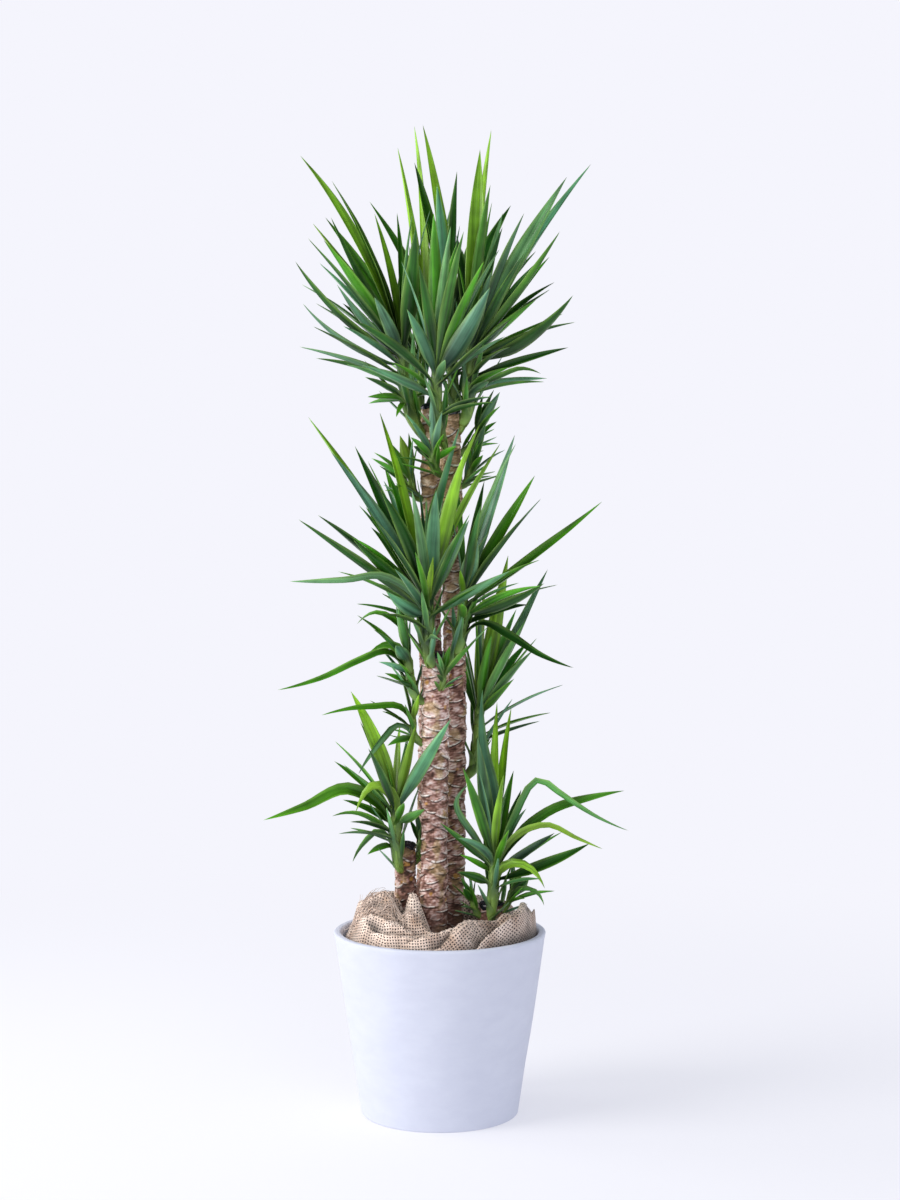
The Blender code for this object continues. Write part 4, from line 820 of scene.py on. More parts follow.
def makeBurlap():
    # Rows run from the canes to the wall. The ground is a hump: up by a sine, down by a cosine.
    angle = circle(burlap["around"])
    inner, outer = burlapInner(angle), potInside(soil["top"]) - burlap["wallGap"]
    across = np.linspace(0, 1, burlap["across"])[:, None]
    reach = inner + (outer - inner) * across
    points = np.stack([reach * np.cos(angle), reach * np.sin(angle), 0 * reach], -1)
    crest = soil["top"] + around(burlap["crest"], angle) * cm - burlap["foldsOver"]
    at, edge = burlap["crestAt"], soil["top"] + burlap["outerHeight"]
    up = crest - burlap["innerDrop"] * (1 - np.sin(math.pi / 2 * np.clip(across / at, 0, 1)) ** 0.6)
    down = edge + (crest - edge) * np.cos(math.pi / 2 * np.clip((across - at) / (1 - at), 0, 1)) ** 0.8
    points[..., 2] = np.maximum(np.where(across < at, up, down), soil["top"] + 0.003)
    points[..., 2] = rollsOver(points, points[..., 2])
    fade = np.sin(math.pi * np.clip(across, 0.05, 0.95)) ** 0.5
    depth, spacing = burlap["creases"]
    creases = depth * (0.7 - np.abs(ripple(points * [1, 1, 1.4], spacing, 21)))
    points[..., 2] += (np.maximum(creases, -1.6 * depth) + 0.0007 * ripple(points, 0.009, 22)) * fade
    # It comes down to the rim's level at the wall: z = edge + slope d at the distance d, joined by the
    # smooth minimum -ln(e^(-k a) + e^(-k b)) / k.
    uneven, spacing = burlap["edgeUneven"]
    slope = around(burlap["edgeSlope"], angle) * (1 + uneven * ripple(points * [1, 1, 0], spacing, 23))
    lean = np.clip(np.cos(angle), 0, 1)  # on the right it leans out with the wall
    cap, sharp = soil["top"] + burlap["edgeHeight"] + slope * (outer - reach), 400
    points[..., 2] = -np.log(np.exp(-sharp * points[..., 2]) + np.exp(-sharp * cap)) / sharp
    points[..., :2] *= (1 + across * lean * wallLean(points[..., 2]) / reach)[..., None]
    # Painted shade and light: darker in hollows, lighter on ridges, by the height over the local mean.
    mean = points[..., 2]
    for _ in range(3):
        mean = evened(evened(mean, 5, 1), 4, 0)
    rate, darkest, lightest = burlap["foldShade"]
    shade = np.clip(1 + rate * (points[..., 2] - mean), darkest, lightest)
    for deep, half, dark, *line in burlap["slits"]:
        near = nearness(points, line, half)
        points[..., 2] -= deep * cm * near
        # painted shade along the crease
        shade *= 1 - dark * near
    # painted light: lighter towards the left, where the key lamp is, darker towards the right
    shade *= 1 - burlap["paleAndLitLeft"] * np.clip(points[..., 0] / 0.1, -1, 1)
    # The outer edge is tucked down along the wall, and the inner one down by the canes.
    tuck = np.linspace(0, 1, 7)[1:, None]
    lower = np.maximum(points[-1, :, 2] - burlap["tuck"] * tuck, soil["top"] + 0.002)
    wall = outer - 0.001 * tuck + lean * wallLean(lower)
    wall = wall[..., None] * np.stack([np.cos(angle), np.sin(angle)], -1)
    points = np.concatenate([points, np.concatenate([wall, lower[..., None]], -1)])
    lower = points[0, :, 2] + (soil["top"] + 0.002 - points[0, :, 2]) * tuck[::-1]
    middle = np.concatenate([points[0, :, :2] + 0 * tuck[..., None], lower[..., None]], -1)
    points = np.concatenate([middle, points])
    shade = np.pad(shade, ((6, 6), (0, 0)), "edge")[..., None] * np.ones(3)
    length = np.linalg.norm(np.diff(points, axis=0), axis=-1)
    span = np.linalg.norm(np.diff(points, axis=1, append=points[:, :1]), axis=-1)
    faces = tubeFaces(len(points), burlap["around"])[:, ::-1]
    print("burlap's area, one layer:", round((0.5 * (span[1:] + span[:-1]) * length).sum(), 4))
    piece = newPiece(
        "burlap_cloth", points, [faces], burlapMaterial(), ["burlap"],
        uv=weavePlace(points, faces), tint=shade,
    )
    layer = piece.modifiers.new("thickness", "SOLIDIFY")
    layer.thickness, layer.offset = burlap["thickness"], -1
    threads = makeThreads(points.reshape(-1, 3))


def makeThreads(cloth):
    # Loose threads on the cloth: each is a fine tube along p(s) = start + s l way + c sin(4 s) side,
    # at the cloth's height there and lift sin(pi s) above it, plus its end's height s^2.
    random = np.random.default_rng(77)
    cloth = cloth[(cloth[:, 0] < -0.03) & (cloth[:, 1] < 0.02)]
    s, ring = np.linspace(0, 1, 10), np.array([[1, 0], [0, 1], [-1, 0], [0, -1]])
    points, faces, shades = [], [], []
    for count, stray, rise, *line in burlap["frayed"]:
        where = np.linspace(0, 0.9, count)
        for start, ahead in zip(course(np.array(line) * cm, where), heading(np.array(line) * cm, where)):
            way = unit(ahead + stray * random.normal(size=2))
            side, length = np.array([-way[1], way[0]]), random.uniform(*burlap["strandLength"])
            flat = start + random.normal(0, 0.0025, 2) + (s * length)[:, None] * way
            curl = random.normal(0, 0.05 + 0.12 * min(stray, 1)) * length
            flat = flat + (curl * np.sin(4 * s + random.uniform(0, 3)))[:, None] * side
            apart = ((cloth[None, :, :2] - flat[:, None]) ** 2).sum(-1)
            height = cloth[apart.argmin(1), 2]
            height = np.convolve(np.pad(height, 2, "edge"), np.full(5, 0.2), "valid")
            lift = random.uniform(0.0005, 0.005) * np.sin(math.pi * s) ** 0.8
            lift = lift + random.uniform(0, rise) * cm * s**2
            middle = np.c_[flat, height + 0.0006 + lift]
            along = unit(np.gradient(middle, axis=0))
            across = squareTo(np.array([0.0, 0.0, 1.0]), along)
            other = np.cross(along, across)
            thick = random.uniform(*burlap["strandRadius"]) * (1 - 0.5 * s)[:, None, None]
            tube = ring[:, :1] * across[:, None] + ring[:, 1:] * other[:, None]
            first = 40 * len(points)
            points.append((middle[:, None] + thick * tube).reshape(-1, 3))
            faces.append(tubeFaces(10, 4, first))
            faces.append(first + np.array([[3, 2, 1, 0], [36, 37, 38, 39]]))
            shades.append(np.full((40, 3), random.uniform(0.55, 1.0)) * linear(burlap["strand"]))
    # Loose jute fibre: pale, dull and a little hairy.
    material = newMaterial("loose jute thread")
    tint = addNode(material, "Attribute", {"attribute_name": "tint"})
    shader = addNode(
        material, "BsdfPrincipled", {"Roughness": 0.9, "Sheen Weight": 0.2}, {"Base Color": (tint, "Color")}
    )
    addNode(material, "OutputMaterial", links={"Surface": (shader, 0)})
    points, shades = np.concatenate(points), np.concatenate(shades)
    return newPiece("burlap_threads", points, faces, material, tint=shades)


# Shoots: "stem" is the centre line in cm with its "radius". Each listed leaf is its tip's x, y and z, its
# width from the front, its upward bow as a part of its length, its tone (b bright, m middle, d dark, p pale)
# and any points that it passes. "more" leaves follow by rule: their "reach" in cm, the middle and half
# width of their sector, and their lowest and steepest "rise", in degrees.
shoots = {
    "top_left": {
        "cane": "tall_left",
        "stem": ((-1.5, 6.8, 117), (-4.6, 4.6, 121), (-6, 3.4, 127), (-6.4, 3, 134)),
        "radius": 1.15, "more": 9, "reach": (16, 30), "facing": (150, 95), "rise": (8, 70),
        "leaves": [
            (-24.5, 8, 167.5, 1.6, 0.1, "b"), (-4, -7, 153.5, 2.9, -0.1, "d"),
            (-11, -8, 141.5, 2.2, 0.06, "p"), (-20, 0, 152, 2.1, 0.02, "m"),
            (-19, 6, 156.5, 1.4, -0.05, "d"), (-11.5, 9, 157.5, 1.2, 0.06, "b"),
            (-22.5, 9, 156, 0.8, 0.04, "b"), (-25, 2, 148.5, 0.9, -0.15, "d"),
            (-17.5, -4, 144, 1.6, -0.1, "p"), (-21, 4, 148.5, 0.9, 0.04, "p"),
            (-23.5, -1, 141, 1, -0.18, "p"), (-17, 5, 141.5, 1.6, 0.04, "d"),
            (-7.5, 8, 157.5, 1.4, 0.06, "d"), (-16.5, -3, 137, 1, 0.06, "p"),
            (-16, -2, 130.5, 1, 0.05, "m"), (-13, 1, 128.5, 1.2, 0.05, "d"),
            (-12.5, 0, 125, 1.2, 0.08, "m"), (-12.5, 4, 124, 1, 0.08, "m"), (-7.5, -1, 121.5, 1, 0.12, "m"),
        ],
    },
    "top_centre": {
        "cane": "tall_right",
        "stem": ((1.5, 3, 115), (0.2, -0.6, 118.5), (-0.4, -2.2, 124), (-0.6, -3, 129.5)),
        "radius": 1, "more": 9, "reach": (12, 26), "facing": (-90, 110), "rise": (5, 75),
        "leaves": [
            (8.5, -10, 143, 3.3, -0.04, "p"), (7.5, -9, 147.5, 1.8, 0.02, "m"),
            (-3.5, -9, 147, 2.1, 0.06, "d"), (-5.5, -8, 139.5, 2.2, 0.06, "p"),
            (1, -8, 131, 1.6, 0.06, "m"), (-13, -9, 130, 1.6, 0.05, "p"), (3, -6, 151, 2.4, 0.05, "m"),
            (-1, -5, 156, 2.8, 0.04, "m"),
        ],
    },
    "top_right": {
        "cane": "tall_right",
        "stem": ((1.6, 3, 117.5), (4.3, 2.8, 121), (5, 2.2, 127), (5.6, 2, 134.5)),
        "radius": 1.2, "more": 12, "reach": (14, 30), "facing": (20, 95), "rise": (8, 72),
        "leaves": [
            (7, 4, 168, 3.3, 0.02, "b"), (22, 2, 163, 2.9, 0.03, "m"), (26.5, 8, 166, 1.7, 0.05, "p"),
            (9, 8, 172, 1.4, 0.04, "b"), (23, 0, 142.5, 2.1, 0, "d", (13, 0.5, 133.5), (18, 0, 137)),
            (14.5, 0, 156.5, 1.6, 0.02, "d"), (20.5, -4, 153, 1.3, -0.05, "m"),
            (18.5, 6, 150, 1.3, 0.05, "m"), (11, 8, 155, 1.6, 0.05, "d"), (16.5, -2, 141.5, 1.5, 0.04, "m"),
            (12, -5, 138, 1.3, 0.04, "d"),
            (17.5, 0, 129, 0.9, 0, "m", (10.4, 0.5, 128.5), (14, 0.2, 129.8)),
            (12, -3, 130, 1.3, 0.06, "m"), (8.5, -4, 127.5, 1.3, 0.06, "d"),
        ],
    },
    "top_back": {
        "cane": "tall_right",
        "stem": ((1.6, 3, 118), (2.6, 6.4, 121.5), (2.3, 8, 127.5), (1.6, 8.6, 134)),
        "radius": 1.1, "more": 15, "reach": (18, 36), "facing": (70, 110), "rise": (10, 80),
        "leaves": [
            (-3, 9, 173, 2.4, 0.05, "b"), (-4.5, 8, 166.5, 2.4, 0.05, "d"), (3, 6, 164.5, 1.9, 0.04, "d"),
            (-0.5, 4, 162, 3.1, 0.04, "p"), (-12.5, 12, 160, 1.9, 0.05, "d"),
        ],
    },
    "top_back_left": {
        "cane": "tall_left",
        "stem": ((-1.5, 6.8, 118), (-3.4, 9.8, 121.5), (-3.7, 10.8, 127), (-3.2, 11, 133)),
        "radius": 0.95, "more": 12, "reach": (16, 32), "facing": (125, 75), "rise": (10, 78),
        "leaves": [
            (-4.5, 12, 173, 1.1, 0.05, "b"), (-7.5, 12, 169.5, 1.1, 0.05, "b"),
        ],
    },
    "side_front": {
        "cane": "tall_right",
        "stem": ((1.9, 3, 111), (-0.7, 0.4, 112.5), (-1.1, -0.8, 115.5)),
        "radius": 0.65, "more": 5, "reach": (5, 9), "facing": (-110, 70), "rise": (10, 70),
        "leaves": [
            (-1.5, -4, 124.5, 1.3, 0.05, "p"), (0.5, -4, 122.5, 1.4, 0.05, "p"),
            (3, -4, 116.5, 1.2, 0.08, "m"), (-5, -4, 118, 1.2, 0.08, "m"),
            (-4.5, -2, 116.5, 1.2, 0.08, "d"),
        ],
    },
    "side_left": {
        "cane": "tall_left",
        "stem": ((-1.6, 6.8, 107), (-4.3, 5.8, 108), (-5, 5.2, 110.5)),
        "radius": 0.65, "more": 5, "reach": (6, 10), "facing": (180, 75), "rise": (0, 60),
        "leaves": [
            (-7, 5, 118.5, 2.2, 0.05, "b"), (-9, 4, 117.5, 1.7, 0.05, "m"), (-7, 1, 109, 1.9, 0.1, "d"),
            (-5.5, 7, 119, 1.2, 0.05, "m"), (-12, 5, 114.5, 1.2, 0.08, "m"),
            (-8.5, 2, 109.5, 1.2, 0.1, "m"),
        ],
    },
    "side_right": {
        "cane": "tall_right",
        "stem": ((1.7, 3.2, 114.5), (4.4, 4.2, 115.8), (6.4, 4.9, 118.6)),
        "radius": 0.6, "more": 5, "reach": (5, 9), "facing": (10, 75), "rise": (10, 70),
        "leaves": [
            (10.5, 3, 126, 1.7, 0.05, "d"), (9.5, 5, 126.5, 1.2, 0.05, "d"),
        ],
    },
    "side_right_low": {
        "cane": "tall_right",
        "stem": ((1.9, 3, 109), (4.5, 3.2, 110.2), (5.4, 2.8, 112.6)),
        "radius": 0.6, "more": 4, "reach": (5, 8), "facing": (-10, 75), "rise": (0, 60),
        "leaves": [
            (8, 1, 120.5, 1.7, 0.05, "d"), (7.5, -1, 115, 1.2, 0.08, "m"),
        ],
    },
    "mid_front": {
        "cane": "middle",
        "stem": ((-0.7, -3, 77.5), (-1.7, -5.7, 80), (-1.9, -6.6, 85), (-1.8, -6.9, 90.5)),
        "radius": 1.1, "more": 8, "reach": (12, 24), "facing": (-110, 90), "rise": (5, 70),
        "leaves": [
            (-0.5, -12, 109, 2.9, 0.05, "p"), (4.5, -8, 116, 2.6, 0.02, "b"), (5, -13, 104, 2.4, 0.05, "p"),
            (-22.5, -4, 121.5, 1.5, 0.03, "b"), (-18.5, -8, 115.5, 1.8, 0.05, "p"),
            (-14.5, -6, 116.5, 2.1, 0, "d"), (-10, -9, 109, 2.4, 0.08, "d"), (-24, -7, 104, 1.6, 0, "d"),
            (-25.5, -8, 93.5, 1.2, 0, "m", (-5, -8, 91.5), (-9.5, -8.5, 94.2), (-16, -8.5, 93.6)),
            (-14.5, -11, 100.5, 2.2, 0, "d"), (-9, -12, 92, 2.4, -0.1, "p"), (12, -12, 95.5, 1.8, 0, "p"),
            (-1, -13, 98, 1.2, 0.06, "b"),
        ],
    },
    "mid_right": {
        "cane": "middle",
        "stem": ((-0.6, -3, 78), (2.7, -3.5, 80.5), (3.7, -3, 86), (4, -2.6, 91.5)),
        "radius": 1.1, "more": 11, "reach": (13, 26), "facing": (-10, 85), "rise": (8, 75),
        "leaves": [
            (6.5, -8, 100.5, 2.9, 0.05, "p"), (13, 0, 118.5, 2.1, 0, "p"), (16.5, 0, 111.5, 1.9, 0, "m"),
            (28, -2, 107, 1.2, -0.04, "m"), (15, -5, 105, 1.2, 0.03, "d"), (18, -4, 93, 1.7, -0.12, "d"),
            (23, -5, 78.5, 1.4, 0, "d", (7, -3.5, 86), (12, -4, 83.8), (17.4, -4.5, 80.5)),
            (5.5, -5, 100.5, 1.4, 0.05, "d"), (8.5, -5, 102, 1.4, 0.05, "d"),
            (3.5, -9, 95.5, 1.2, 0.05, "b"),
        ],
    },
    "mid_back": {
        "cane": "middle",
        "stem": ((-0.7, -3, 77), (-2.3, -0.2, 80.5), (-3, 0.9, 86), (-2.6, 1.4, 91.5)),
        "radius": 1, "more": 11, "reach": (14, 28), "facing": (140, 100), "rise": (10, 75),
        "leaves": [
            (-10.5, 6, 122.5, 1.3, 0.03, "b"), (3.5, -2, 120, 1.6, 0.05, "p"),
            (-0.5, 1, 109.5, 2.2, 0.05, "d"), (7, -1, 120.5, 1.2, 0.05, "b"),
            (10.5, 3, 117, 1.1, 0.05, "b"), (-9, 3, 112, 2, 0.05, "m"), (-13, 4, 106, 1.6, 0.03, "m"),
        ],
    },
    "mid_left": {
        "cane": "middle",
        "stem": ((-0.8, -3, 71.5), (-4.1, -3.4, 73.5), (-5, -3.2, 77), (-5.4, -3, 80.5)),
        "radius": 0.85, "more": 7, "reach": (7, 15), "facing": (180, 75), "rise": (0, 75),
        "leaves": [
            (-7.5, -7, 82.5, 2.4, 0.05, "p"),
            (-28, -3, 74.5, 1.1, 0, "m", (-9.5, -3.2, 81), (-13.5, -3.4, 79.6), (-20.5, -3.4, 76.4)),
            (-12.5, -2, 80.5, 1.7, 0, "m", (-8.3, -2.8, 82.3)), (-7.5, -4, 89, 1.7, 0.05, "p"),
            (-14.5, 2, 85.5, 1, 0, "m", (-7.5, -0.5, 86), (-11.3, 1, 87.6)), (-14.5, 4, 87, 1, 0.1, "m"),
            (-10.5, -5, 79.5, 1.2, 0.15, "p"), (-9.5, -4, 77.5, 1, 0.1, "m"), (-7, -6, 76.5, 1.2, 0.1, "d"),
        ],
    },
    "mid_left_low": {
        "cane": "middle",
        "stem": ((-0.8, -3, 64.5), (-3.9, -3.1, 66), (-4.5, -2.9, 69.5)),
        "radius": 0.55, "more": 4, "reach": (6, 12), "facing": (180, 70), "rise": (0, 60),
        "leaves": [
            (-20.5, -2, 70, 1, 0, "m", (-6.6, -2.8, 71.2), (-12, -2.5, 71.4)),
            (-14, -4, 60, 1.2, 0, "m", (-7.2, -3.2, 68.6), (-10.4, -3.6, 65.5)),
            (-9, -5, 65, 1.2, 0.2, "m"), (-3.5, -4.5, 74, 1.2, 0.06, "b"),
        ],
    },
    "mid_small": {
        "cane": "middle",
        "stem": ((-0.6, -3, 74.5), (0.4, -5.6, 75.4), (0.6, -6.3, 77.5)),
        "radius": 0.45, "more": 2, "reach": (4, 6), "facing": (-90, 60), "rise": (10, 60),
        "leaves": [
            (1.8, -7.5, 82.5, 1.3, 0.05, "m"), (-0.4, -8, 81.5, 0.9, 0.05, "m"),
            (4.5, -7.5, 81.5, 1, 0.08, "m"), (6.2, -8, 83.5, 0.9, 0.05, "m"),
        ],
    },
    "low_back": {
        "cane": "tall_right",
        "stem": ((2.6, 3, 57), (5.6, 4.4, 59.5), (6.5, 5, 64.5), (6.8, 5.3, 70.5)),
        "radius": 1.05, "more": 10, "reach": (12, 26), "facing": (40, 95), "rise": (10, 75),
        "leaves": [
            (12, 5, 97.5, 2.8, 0, "b"), (19, 6, 95, 1.7, 0, "p"), (16.5, 4, 81, 1.5, 0.05, "m"),
            (13, 2, 76, 1.5, 0.05, "m"), (15, 0, 86.5, 1.6, 0.03, "m"), (9, 0, 84, 1.8, 0.05, "m"),
            (8, 8, 92, 1.8, 0.04, "b"),
        ],
    },
    "short_front": {
        "cane": "short",
        "stem": ((-6, 0, 42), (-7.1, -2.4, 43.8), (-7.5, -3, 48), (-7.5, -3.2, 54.5)),
        "radius": 0.95, "more": 10, "reach": (9, 18), "facing": (180, 110), "rise": (0, 70),
        "leaves": [
            (-15.5, 0, 74, 2.7, 0.1, "b"), (2, -7, 70, 2.4, 0.02, "p"), (-4, -3, 69, 1.7, 0, "b"),
            (-30.5, -4, 52, 1.9, 0, "m", (-13.5, -3.2, 56.5), (-15.4, -3.3, 57.2), (-23.5, -3.8, 54.2)),
            (-14.5, -6, 53.5, 2.1, 0, "b", (-9, -4.2, 57.5), (-10.2, -4.8, 58.4)),
            (-18.5, -6, 53, 1.2, 0, "m", (-11.2, -4.2, 51.8), (-13.8, -5, 53.2)),
            (-15, -6, 45, 1.2, 0, "m", (-10.6, -4, 50), (-13, -5.2, 48.2)), (-7, 2, 68, 1.2, 0.04, "b"),
            (-3, 2, 61.5, 1.7, 0.05, "d"), (-18.5, 2, 61.5, 1.1, 0.05, "m"), (-17, 0, 55, 1.1, 0.12, "m"),
            (-2.5, -8, 54.5, 1.7, 0, "m"), (-11.5, -6, 62.5, 1.4, 0.05, "p"),
            (-12.5, -4, 46, 1.1, 0.2, "m"),
        ],
    },
    "short_back": {
        "cane": "short",
        "stem": ((-6, 0, 43), (-3.9, 1.3, 44.6), (-3.6, 1.8, 47.4)),
        "radius": 0.5, "more": 4, "reach": (4, 6), "facing": (60, 80), "rise": (10, 60),
        "leaves": [
            (-4.2, 2.5, 53, 1, 0.05, "d"), (-2, 1, 52, 0.9, 0.08, "d"), (-5.4, 4, 51, 0.9, 0.08, "d"),
        ],
    },
    "stub_front": {
        "cane": "stub",
        "stem": ((9, -2, 33.6), (8.9, -4.9, 35.8), (9.2, -5.1, 39.5), (9.4, -5.2, 45.5)),
        "radius": 0.95, "more": 7, "reach": (10, 22), "facing": (0, 120), "rise": (15, 75),
        "leaves": [
            (7.5, 0, 74.5, 1.8, 0, "p", (9.3, -4, 56), (7.2, -2.5, 66)), (6.5, -4, 66.5, 2.5, 0, "d"),
            (12.5, 2, 71, 1.4, 0.03, "b"), (10, 0, 72, 1.7, 0.03, "b"), (11, -7, 60.5, 1.6, 0.05, "b"),
            (32.5, -6, 50.5, 1.4, 0, "m",
             (13, -5.4, 52.5), (17.4, -5.6, 59), (20, -5.7, 57.2), (27, -5.9, 52.8)),
            (32, -3, 57, 1.5, 0, "m", (15.7, -4.6, 51.2), (19, -4.2, 53.4), (26.1, -3.6, 55.8)),
            (28, -7, 47.5, 1.4, 0, "b", (15.2, -6.2, 50.8), (18.2, -6.5, 51.6), (23.5, -6.8, 49.4)),
            (26, -4, 48, 1.7, -0.06, "d"), (20, -2, 49.5, 1.5, 0, "d"),
            (18, -9, 41, 1.7, 0, "b", (12.3, -6.6, 45.2), (14.2, -7.6, 45.2)), (0, -5, 52, 1.4, 0, "d"),
            (5, -6, 58.5, 1.4, 0, "d", (6.1, -5.6, 49), (2.9, -6, 56)),
            (3, -7.5, 49.5, 1.6, 0, "p", (7.5, -6.2, 47.5), (5.6, -7, 48.8)), (3, -7, 43.5, 1.7, 0.08, "d"),
            (3.5, -5, 46.2, 0.9, 0.05, "m"),
        ],
    },
    "stub_right": {
        "cane": "stub",
        "stem": ((9, -2, 34.4), (11.3, -2.5, 36.6), (12.4, -2.8, 39.6)),
        "radius": 0.5, "more": 4, "reach": (4, 7), "facing": (10, 75), "rise": (15, 65),
        "leaves": [
            (15.5, -4, 42, 2.4, 0.05, "d"),
            (18, -6, 37.5, 1.1, 0, "m", (14.6, -3.6, 40.2), (16.4, -4.8, 40)), (20, -3, 39.5, 1, 0.1, "m"),
            (14, 1, 42.5, 1.4, 0.05, "d"),
        ],
    },
    "stub_left": {
        "cane": "stub",
        "stem": ((9, -2, 34.2), (6.4, -2.8, 35.8), (5.8, -3.3, 38.2)),
        "radius": 0.45, "more": 3, "reach": (4, 6), "facing": (200, 60), "rise": (20, 65),
        "leaves": [
            (4, -6, 40.5, 1.5, 0.05, "d"), (3.6, -4, 42, 1, 0.05, "d"),
        ],
    },
}
leaf = {
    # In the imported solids: a blade's sections, a curved one's, the bow from which it is a curved one, how
    # wide its base is as a part of its width, and how near which share of their points has to be.
    "sections": (0.0, 0.25, 0.62),
    "curvedSections": (0.0, 0.2, 0.4, 0.6, 0.8),
    "curvedFrom": 0.11,
    "packedBase": 0.22,
    "match": (0.0002, 0.4),
    # In the blades made here.
    "narrow": 0.34,  # width of the base, as a part of its width
    "rows": 24,
    "across": (1, 0.9, 0.5, 0, -0.5, -0.9, -1, -0.9, -0.5, 0, 0.5, 0.9),  # round a section, underside first
    "thickness": 0.0011,
    # Tone b: partly the yellow-green of young leaves, partly painted light of leaves lit from behind.
    # Tone p: mostly painted sheen of leaves that face the light, partly a blue-grey wax bloom.
    "tones": {"b": "#72a01e", "m": "#39790c", "d": "#184c06", "p": "#497b57"},
    "bloomAndSheen": "#86ab96",  # wax bloom and painted sheen, on a part of the leaves, more towards the tips
    "base": "#8aab52",
    "edge": "#93b856",
    "tip": "#7a5a35",
    "stem": "#86a84c",
    "cork": "#7d5331",
    "toneOdds": "mmmddddpm",
    "spears": 3,  # young upright leaves in the heart of each shoot
    "bracts": 6,  # short leaves low on its stem, for each cm of its radius
    "extra": 0.05,  # leaves added where there is room, as a part of those that are there
    "extraRise": (38, 82),
    "slim": 0.82,  # width of the leaves by rule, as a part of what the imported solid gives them
    "apart": 0.0085,  # room that an added leaf keeps from the others' middles
}


def sideOf(blade, t):
    # Centre line, width direction and upper normal. The blade lies with its upper side inwards where it
    # leaves the stem, and turns to show the listed width to the front, or by its drawn roll.
    points, sections = blade["points"], np.array(blade["sections"])
    t = np.concatenate([sections, t])
    ahead = heading(points, t)
    outward = (points[-1] - points[0]) * [1, 1, 0]
    outward = outward / max(np.linalg.norm(outward), 1e-6)
    inner = squareTo(np.array([0.0, 0.0, 1.0]) - 1.2 * outward, ahead)
    plain = np.cross(ahead, inner)
    if blade["shown"]:
        front = squareTo(np.array([0.0, -1.0, 0.0]), ahead)
        level = np.cross(ahead, front)
        turn = math.acos(min(1.0, blade["shown"] / blade["width"]))
        choices = [math.cos(turn) * level + s * math.sin(turn) * front for s in (1, -1)]
        align = [(np.cross(c, ahead) * inner)[: len(sections)].sum(-1).mean() for c in choices]
        best = int(abs(align[1]) > abs(align[0]))
        wanted = choices[best] * (1 if align[best] > 0 else -1)
    else:
        wanted = math.cos(blade["roll"]) * plain + math.sin(blade["roll"]) * inner
    mix = np.clip(0.5 + 0.5 * t / 0.3, 0, 1)[:, None]
    side = squareTo(plain * (1 - mix) + wanted * mix + 1e-4 * inner, ahead)
    n = len(sections)
    return course(points, t)[n:], side[n:], np.cross(side, ahead)[n:]


def bladeWidth(t, base):
    # A narrow base, full width at 0.38, then a long point: 1 - s^1.9 over the rest.
    return (base + (1 - base) * ease(t / 0.38)) * (1 - np.clip((t - 0.38) / 0.62, 0, 1) ** 1.9)


def packedPoints(blade):
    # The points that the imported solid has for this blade: two edges and a keel at each section.
    t = np.array(blade["sections"])
    centre, side, normal = sideOf(blade, t)
    half = blade["width"] * bladeWidth(t, leaf["packedBase"])[:, None] / 2
    edge = centre + 0.16 * half * normal
    return np.stack([edge + side * half, centre - normal * (0.001 + 0.12 * half), edge - side * half], 1)


def newBlade(shoot, tip, width, shown, bow, passing=(), roll=0.0, sway=0.0):
    # A blade from the stem to its tip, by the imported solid's own rule: steep ones start nearer to the
    # stem's top.
    stem = np.array(shoot["stem"]) * cm
    slope = unit(tip - course(stem, [0.75])[0])[2]
    height = 0.5 + 0.48 * np.clip((slope + 0.15) / 1.1, 0, 1)
    root = course(stem, [height])[0]
    flat = (tip - root) * [1, 1, 0]
    root = root + 0.2 * shoot["radius"] * cm * flat / max(np.linalg.norm(flat), 1e-6)
    reach = np.linalg.norm(tip - root)
    if passing:
        middle = [np.array(p) * cm + [0, sway, 0] for p in passing]
    else:
        up = squareTo(np.array([0.001, 0.001, 1.0]), unit(tip - root))
        middle = [(root + tip) / 2 + 0.5 * bow * reach * up + [0, sway, 0]]
    curved = bool(passing) or abs(bow) > leaf["curvedFrom"]
    return {
        "points": np.array([root, *middle, tip]),
        "width": max(shown * cm, 0.009 + 0.07 * reach) if width is None else width, "shown": shown * cm,
        "sections": leaf["curvedSections" if curved else "sections"], "roll": roll, "height": height,
        "slope": slope, "reach": reach,
    }


def listedChoices(shoot, row):
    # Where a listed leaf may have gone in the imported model: its tip and middle moved in depth, least first.
    x, y, z, shown, bow, _, *passing = row
    tips = [0] + [s * k * 0.015 for k in range(1, 10) for s in (-1, 1)]
    pairs = [(a, b) for a in tips for b in (0, -0.012, 0.012, -0.025, 0.025)]
    for shift, sway in sorted(pairs, key=lambda pair: abs(pair[0]) + 1.2 * abs(pair[1])):
        tip = np.array([x * cm, y * cm + shift, z * cm])
        yield newBlade(shoot, tip, None, shown, bow, passing, sway=sway + 0.4 * shift * bool(passing))


def ruledChoices(shoot, index, count, seed, rise=None, share=1.0, attempts=40):
    # Leaves by rule: turned by the golden angle, from steep inner ones to low outer ones.
    random = np.random.default_rng(seed)
    middle, half = (math.radians(v) for v in shoot["facing"])
    low, high = (math.radians(v) for v in rise or shoot["rise"])
    part, (short, long) = (index + 0.5) / count, shoot["reach"]
    start = course(np.array(shoot["stem"]) * cm, [0.55 + 0.4 * (1 - part)])[0]
    for attempt in range(attempts):
        turn = (index * goldenAngle + 0.9 * attempt) % (2 * math.pi) / math.pi - 1
        azimuth = middle + half * turn + random.normal(0, 0.12)
        slope = high + (low - high) * part + random.normal(0, 0.14)
        reach = (long + (short - long) * part**1.3) * random.uniform(0.82, 1.1) * share * cm
        flat = math.cos(slope)
        way = np.array([flat * math.cos(azimuth), flat * math.sin(azimuth), math.sin(slope)])
        width = (0.009 + 0.07 * reach) * random.uniform(0.85, 1.05)
        bow, roll = random.uniform(0.02, 0.12), random.normal(0, 0.5)
        yield newBlade(shoot, start + reach * way, width, 0, bow, roll=roll)


